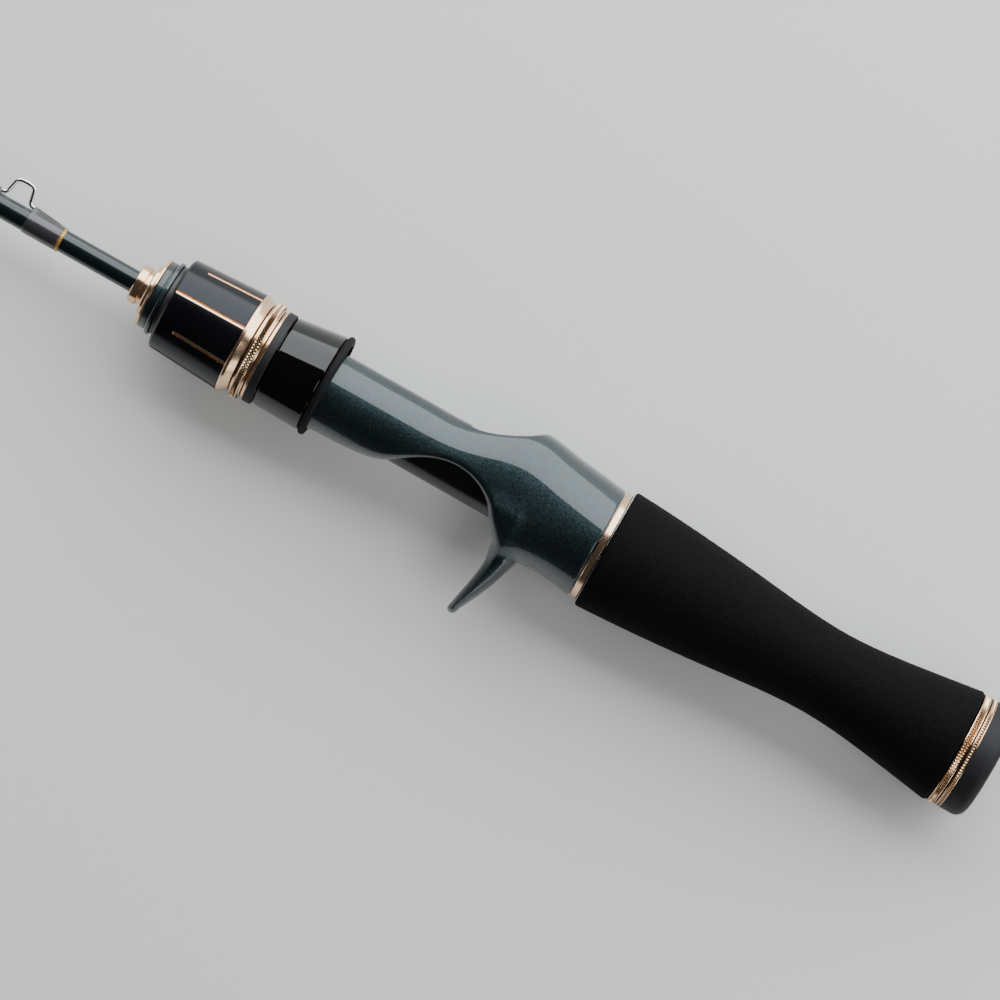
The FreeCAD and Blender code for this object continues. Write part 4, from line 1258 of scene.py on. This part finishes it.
class ROD_OT_butt(RodOperator, bpy.types.Operator):
    """Make the knurled butt ring and the butt cap"""

    bl_idname = "rod.make_butt"
    bl_label = "Butt ring and cap"

    groove_x = 237.6
    groove_half = 0.225
    knurl_depth = 0.3
    closing_r = 0.02                    # the cap's faces close this near to the axis

    def make(self, looks):
        first, last = BUTT_RING
        r = radius("butt_ring")
        inner = BLANK_R + GAP
        valley = r - self.knurl_depth
        groove = (self.groove_x - self.groove_half, self.groove_x + self.groove_half)
        wide = pyramid_ring(first, groove[0], 4, looks.butt_knurls, r, valley, 0.2, inner)
        narrow = pyramid_ring(groove[1], last, 2, looks.butt_knurls, r, valley, 0.2, inner)
        start, end = groove[0] - 0.02, groove[1] + 0.02
        floor = turn_outline([(start, inner), (start, r - 0.5), (end, r - 0.5), (end, inner)], 240)
        points, faces = join(wide, narrow, floor)
        knurled = knurled_gold(looks, "butt_gold", r, valley)
        add_piece("butt_ring", points, faces, [knurled], "rod", ["butt_ring"], sharp=12)
        first, last = BUTT_CAP
        r = radius("butt_cap")
        cap = [(first, inner, 0), (first, r - 0.12, 0.1), (first + 0.15, r, 0.12)]
        cap += [(first + 0.6, r, 0), (last, r, 2.8), (last, 0.6, 0.3), (last - 0.15, 0.0, 0)]
        outline = [(x, max(height, self.closing_r)) for x, height in rounded(cap, 12)]
        outline += [(BLANK[1] + 0.1, self.closing_r), (BLANK[1] + 0.1, inner)]
        self.turned("butt_cap", outline, soft_rubber(), "rod", "cap_rubber")


class ROD_OT_inner_parts(RodOperator, bpy.types.Operator):
    """Finish the parts that the seat and the nut hide at rest"""

    bl_idname = "rod.finish_inner_parts"
    bl_label = "Inner parts"

    def make(self, looks):
        finishes = {"moulding": moulded_black(), "foam": rigid_foam(), "steel": polished_steel()}
        nodes = {"seat_barrel": ("moulding", "black_moulding"), "seat_arbor_front": ("foam", "foam_arbor"),
                 "seat_arbor_rear": ("foam", "foam_arbor"), "butt_plug": ("moulding", "black_moulding"),
                 "hood_snap_ring": ("steel", "spring_steel")}
        for name, (finish, slot) in nodes.items():
            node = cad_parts[name]
            node.data.materials.clear()
            node.data.materials.append(finishes[finish])


# ---- stage ---------------------------------------------------------------------------------------
class ROD_OT_stage(bpy.types.Operator):
    """Set up the floor, the lights and the camera"""

    bl_idname = "rod.make_stage"
    bl_label = "Studio"
    bl_options = {"REGISTER", "UNDO"}

    turn = math.radians(29.54)          # how far the rod slopes down to the right in the view
    # name, place, what it faces, width and height, watts and tint
    softboxes = (
        ("key_softbox", (0.4, 0.72, 0.45), (0.4, 0, 0.02), (3.0, 1.06), 50.0, (0.95, 0.98, 1.0)),
        ("butt_softbox", (0.75, -0.2, 0.95), (0, 0, 0.02), (0.5, 0.5), 2.6, (1.0, 1.0, 1.0)),
        ("end_softbox", (0.95, -0.72, 0.24), (0, 0, 0.02), (0.6, 0.4), 1.6, (1.0, 0.99, 0.97)),
        ("overhead", (0.0, 0.0, 2.2), (0, 0, 0.02), (3.0, 3.0), 20.0, (1.0, 1.0, 1.0)),
    )

    def execute(self, context):
        self.floor(context.scene.rod_looks)
        self.lights()
        self.camera()
        return {"FINISHED"}

    def floor(self, looks):
        size, cells = 8.0, 48
        ticks = (np.arange(cells + 1) / cells - 0.5) * size
        x, y = np.meshgrid(ticks, ticks, indexing="ij")
        points = np.column_stack([x.ravel(), y.ravel(), np.zeros(x.size)])
        mesh = bpy.data.meshes.new("floor")
        mesh.from_pydata(points.tolist(), [], grid_faces(cells + 1, cells + 1, close_columns=False).tolist())
        mesh.materials.append(studio_floor(looks))
        floor = bpy.data.objects.new("floor", mesh)
        bpy.context.scene.collection.objects.link(floor)

    def lights(self):
        world = bpy.data.worlds.new("studio")
        world.use_nodes = True
        nodes, links = world.node_tree.nodes, world.node_tree.links
        room, backdrop = nodes["Background"], nodes.new("ShaderNodeBackground")
        for background, tint, strength in ((room, (0.93, 0.96, 1.0, 1), 0.05),
                                           (backdrop, (0.97, 0.985, 1.0, 1), 0.62)):
            background.inputs["Color"].default_value = tint
            background.inputs["Strength"].default_value = strength
        seen = nodes.new("ShaderNodeMixShader")
        links.new(nodes.new("ShaderNodeLightPath").outputs["Is Camera Ray"], seen.inputs[0])
        links.new(room.outputs[0], seen.inputs[1])
        links.new(backdrop.outputs[0], seen.inputs[2])
        links.new(seen.outputs[0], nodes["World Output"].inputs["Surface"])
        bpy.context.scene.world = world
        for settings in self.softboxes:
            lamp = self.softbox(*settings)
        lamp.visible_glossy = False     # the overhead one lights the floor and isn't mirrored in the rod

    def softbox(self, name, place, target, size, power, tint):
        """A rectangular light, unseen by the camera."""
        light = bpy.data.lights.new(name, "AREA")
        light.shape = "RECTANGLE"
        light.size, light.size_y = size
        light.energy = power
        light.color = tint
        lamp = bpy.data.objects.new(name, light)
        lamp.location = place
        aim = Vector(target) - Vector(place)
        lamp.rotation_euler = aim.to_track_quat("-Z", "Y").to_euler()
        lamp.visible_camera = False
        bpy.context.scene.collection.objects.link(lamp)
        return lamp

    def camera(self):
        data = bpy.data.cameras.new("camera")
        data.lens, data.sensor_width = 190.8, 36.0
        data.clip_start, data.clip_end = 0.05, 50.0
        camera = bpy.data.objects.new("camera", data)
        eye = Vector(to_row([133.0, -2.5, 1325.0]))
        target = Vector(to_row([106.2, -2.5, 0.0]))
        back = (eye - target).normalized()
        up = Vector((-math.sin(self.turn), math.cos(self.turn), 0))
        up = (up - back * up.dot(back)).normalized()
        right = up.cross(back)
        camera.matrix_world = Matrix((right, up, back)).transposed().to_4x4()
        camera.location = eye
        bpy.context.scene.collection.objects.link(camera)
        bpy.context.scene.camera = camera


STEPS = (ROD_OT_blank, ROD_OT_keeper, ROD_OT_front_rings, ROD_OT_lock_nut, ROD_OT_moving_hood,
         ROD_OT_seat_body, ROD_OT_core, ROD_OT_grip, ROD_OT_butt, ROD_OT_inner_parts, ROD_OT_stage)


class ROD_PT_panel(bpy.types.Panel):
    """The rod's sizes, colours and pieces"""

    bl_idname = "ROD_PT_panel"
    bl_label = "Casting rod handle"
    bl_space_type = "VIEW_3D"
    bl_region_type = "UI"
    bl_category = "Rod"

    def draw(self, context):
        looks = context.scene.rod_looks
        column = self.layout.column(align=True)
        for name in RodLooks.__annotations__:
            column.prop(looks, name)
        column = self.layout.column(align=True)
        for step in STEPS:
            column.operator(step.bl_idname)


CLASSES = (RodLooks, *STEPS, ROD_PT_panel)


def register():
    for cls in CLASSES:
        bpy.utils.register_class(cls)
    bpy.types.Scene.rod_looks = PointerProperty(type=RodLooks)


def unregister():
    del bpy.types.Scene.rod_looks
    for cls in reversed(CLASSES):
        bpy.utils.unregister_class(cls)


def main():
    register()
    for step in STEPS:
        group, action = step.bl_idname.split(".")
        getattr(getattr(bpy.ops, group), action)()


if __name__ == "__main__":
    main()
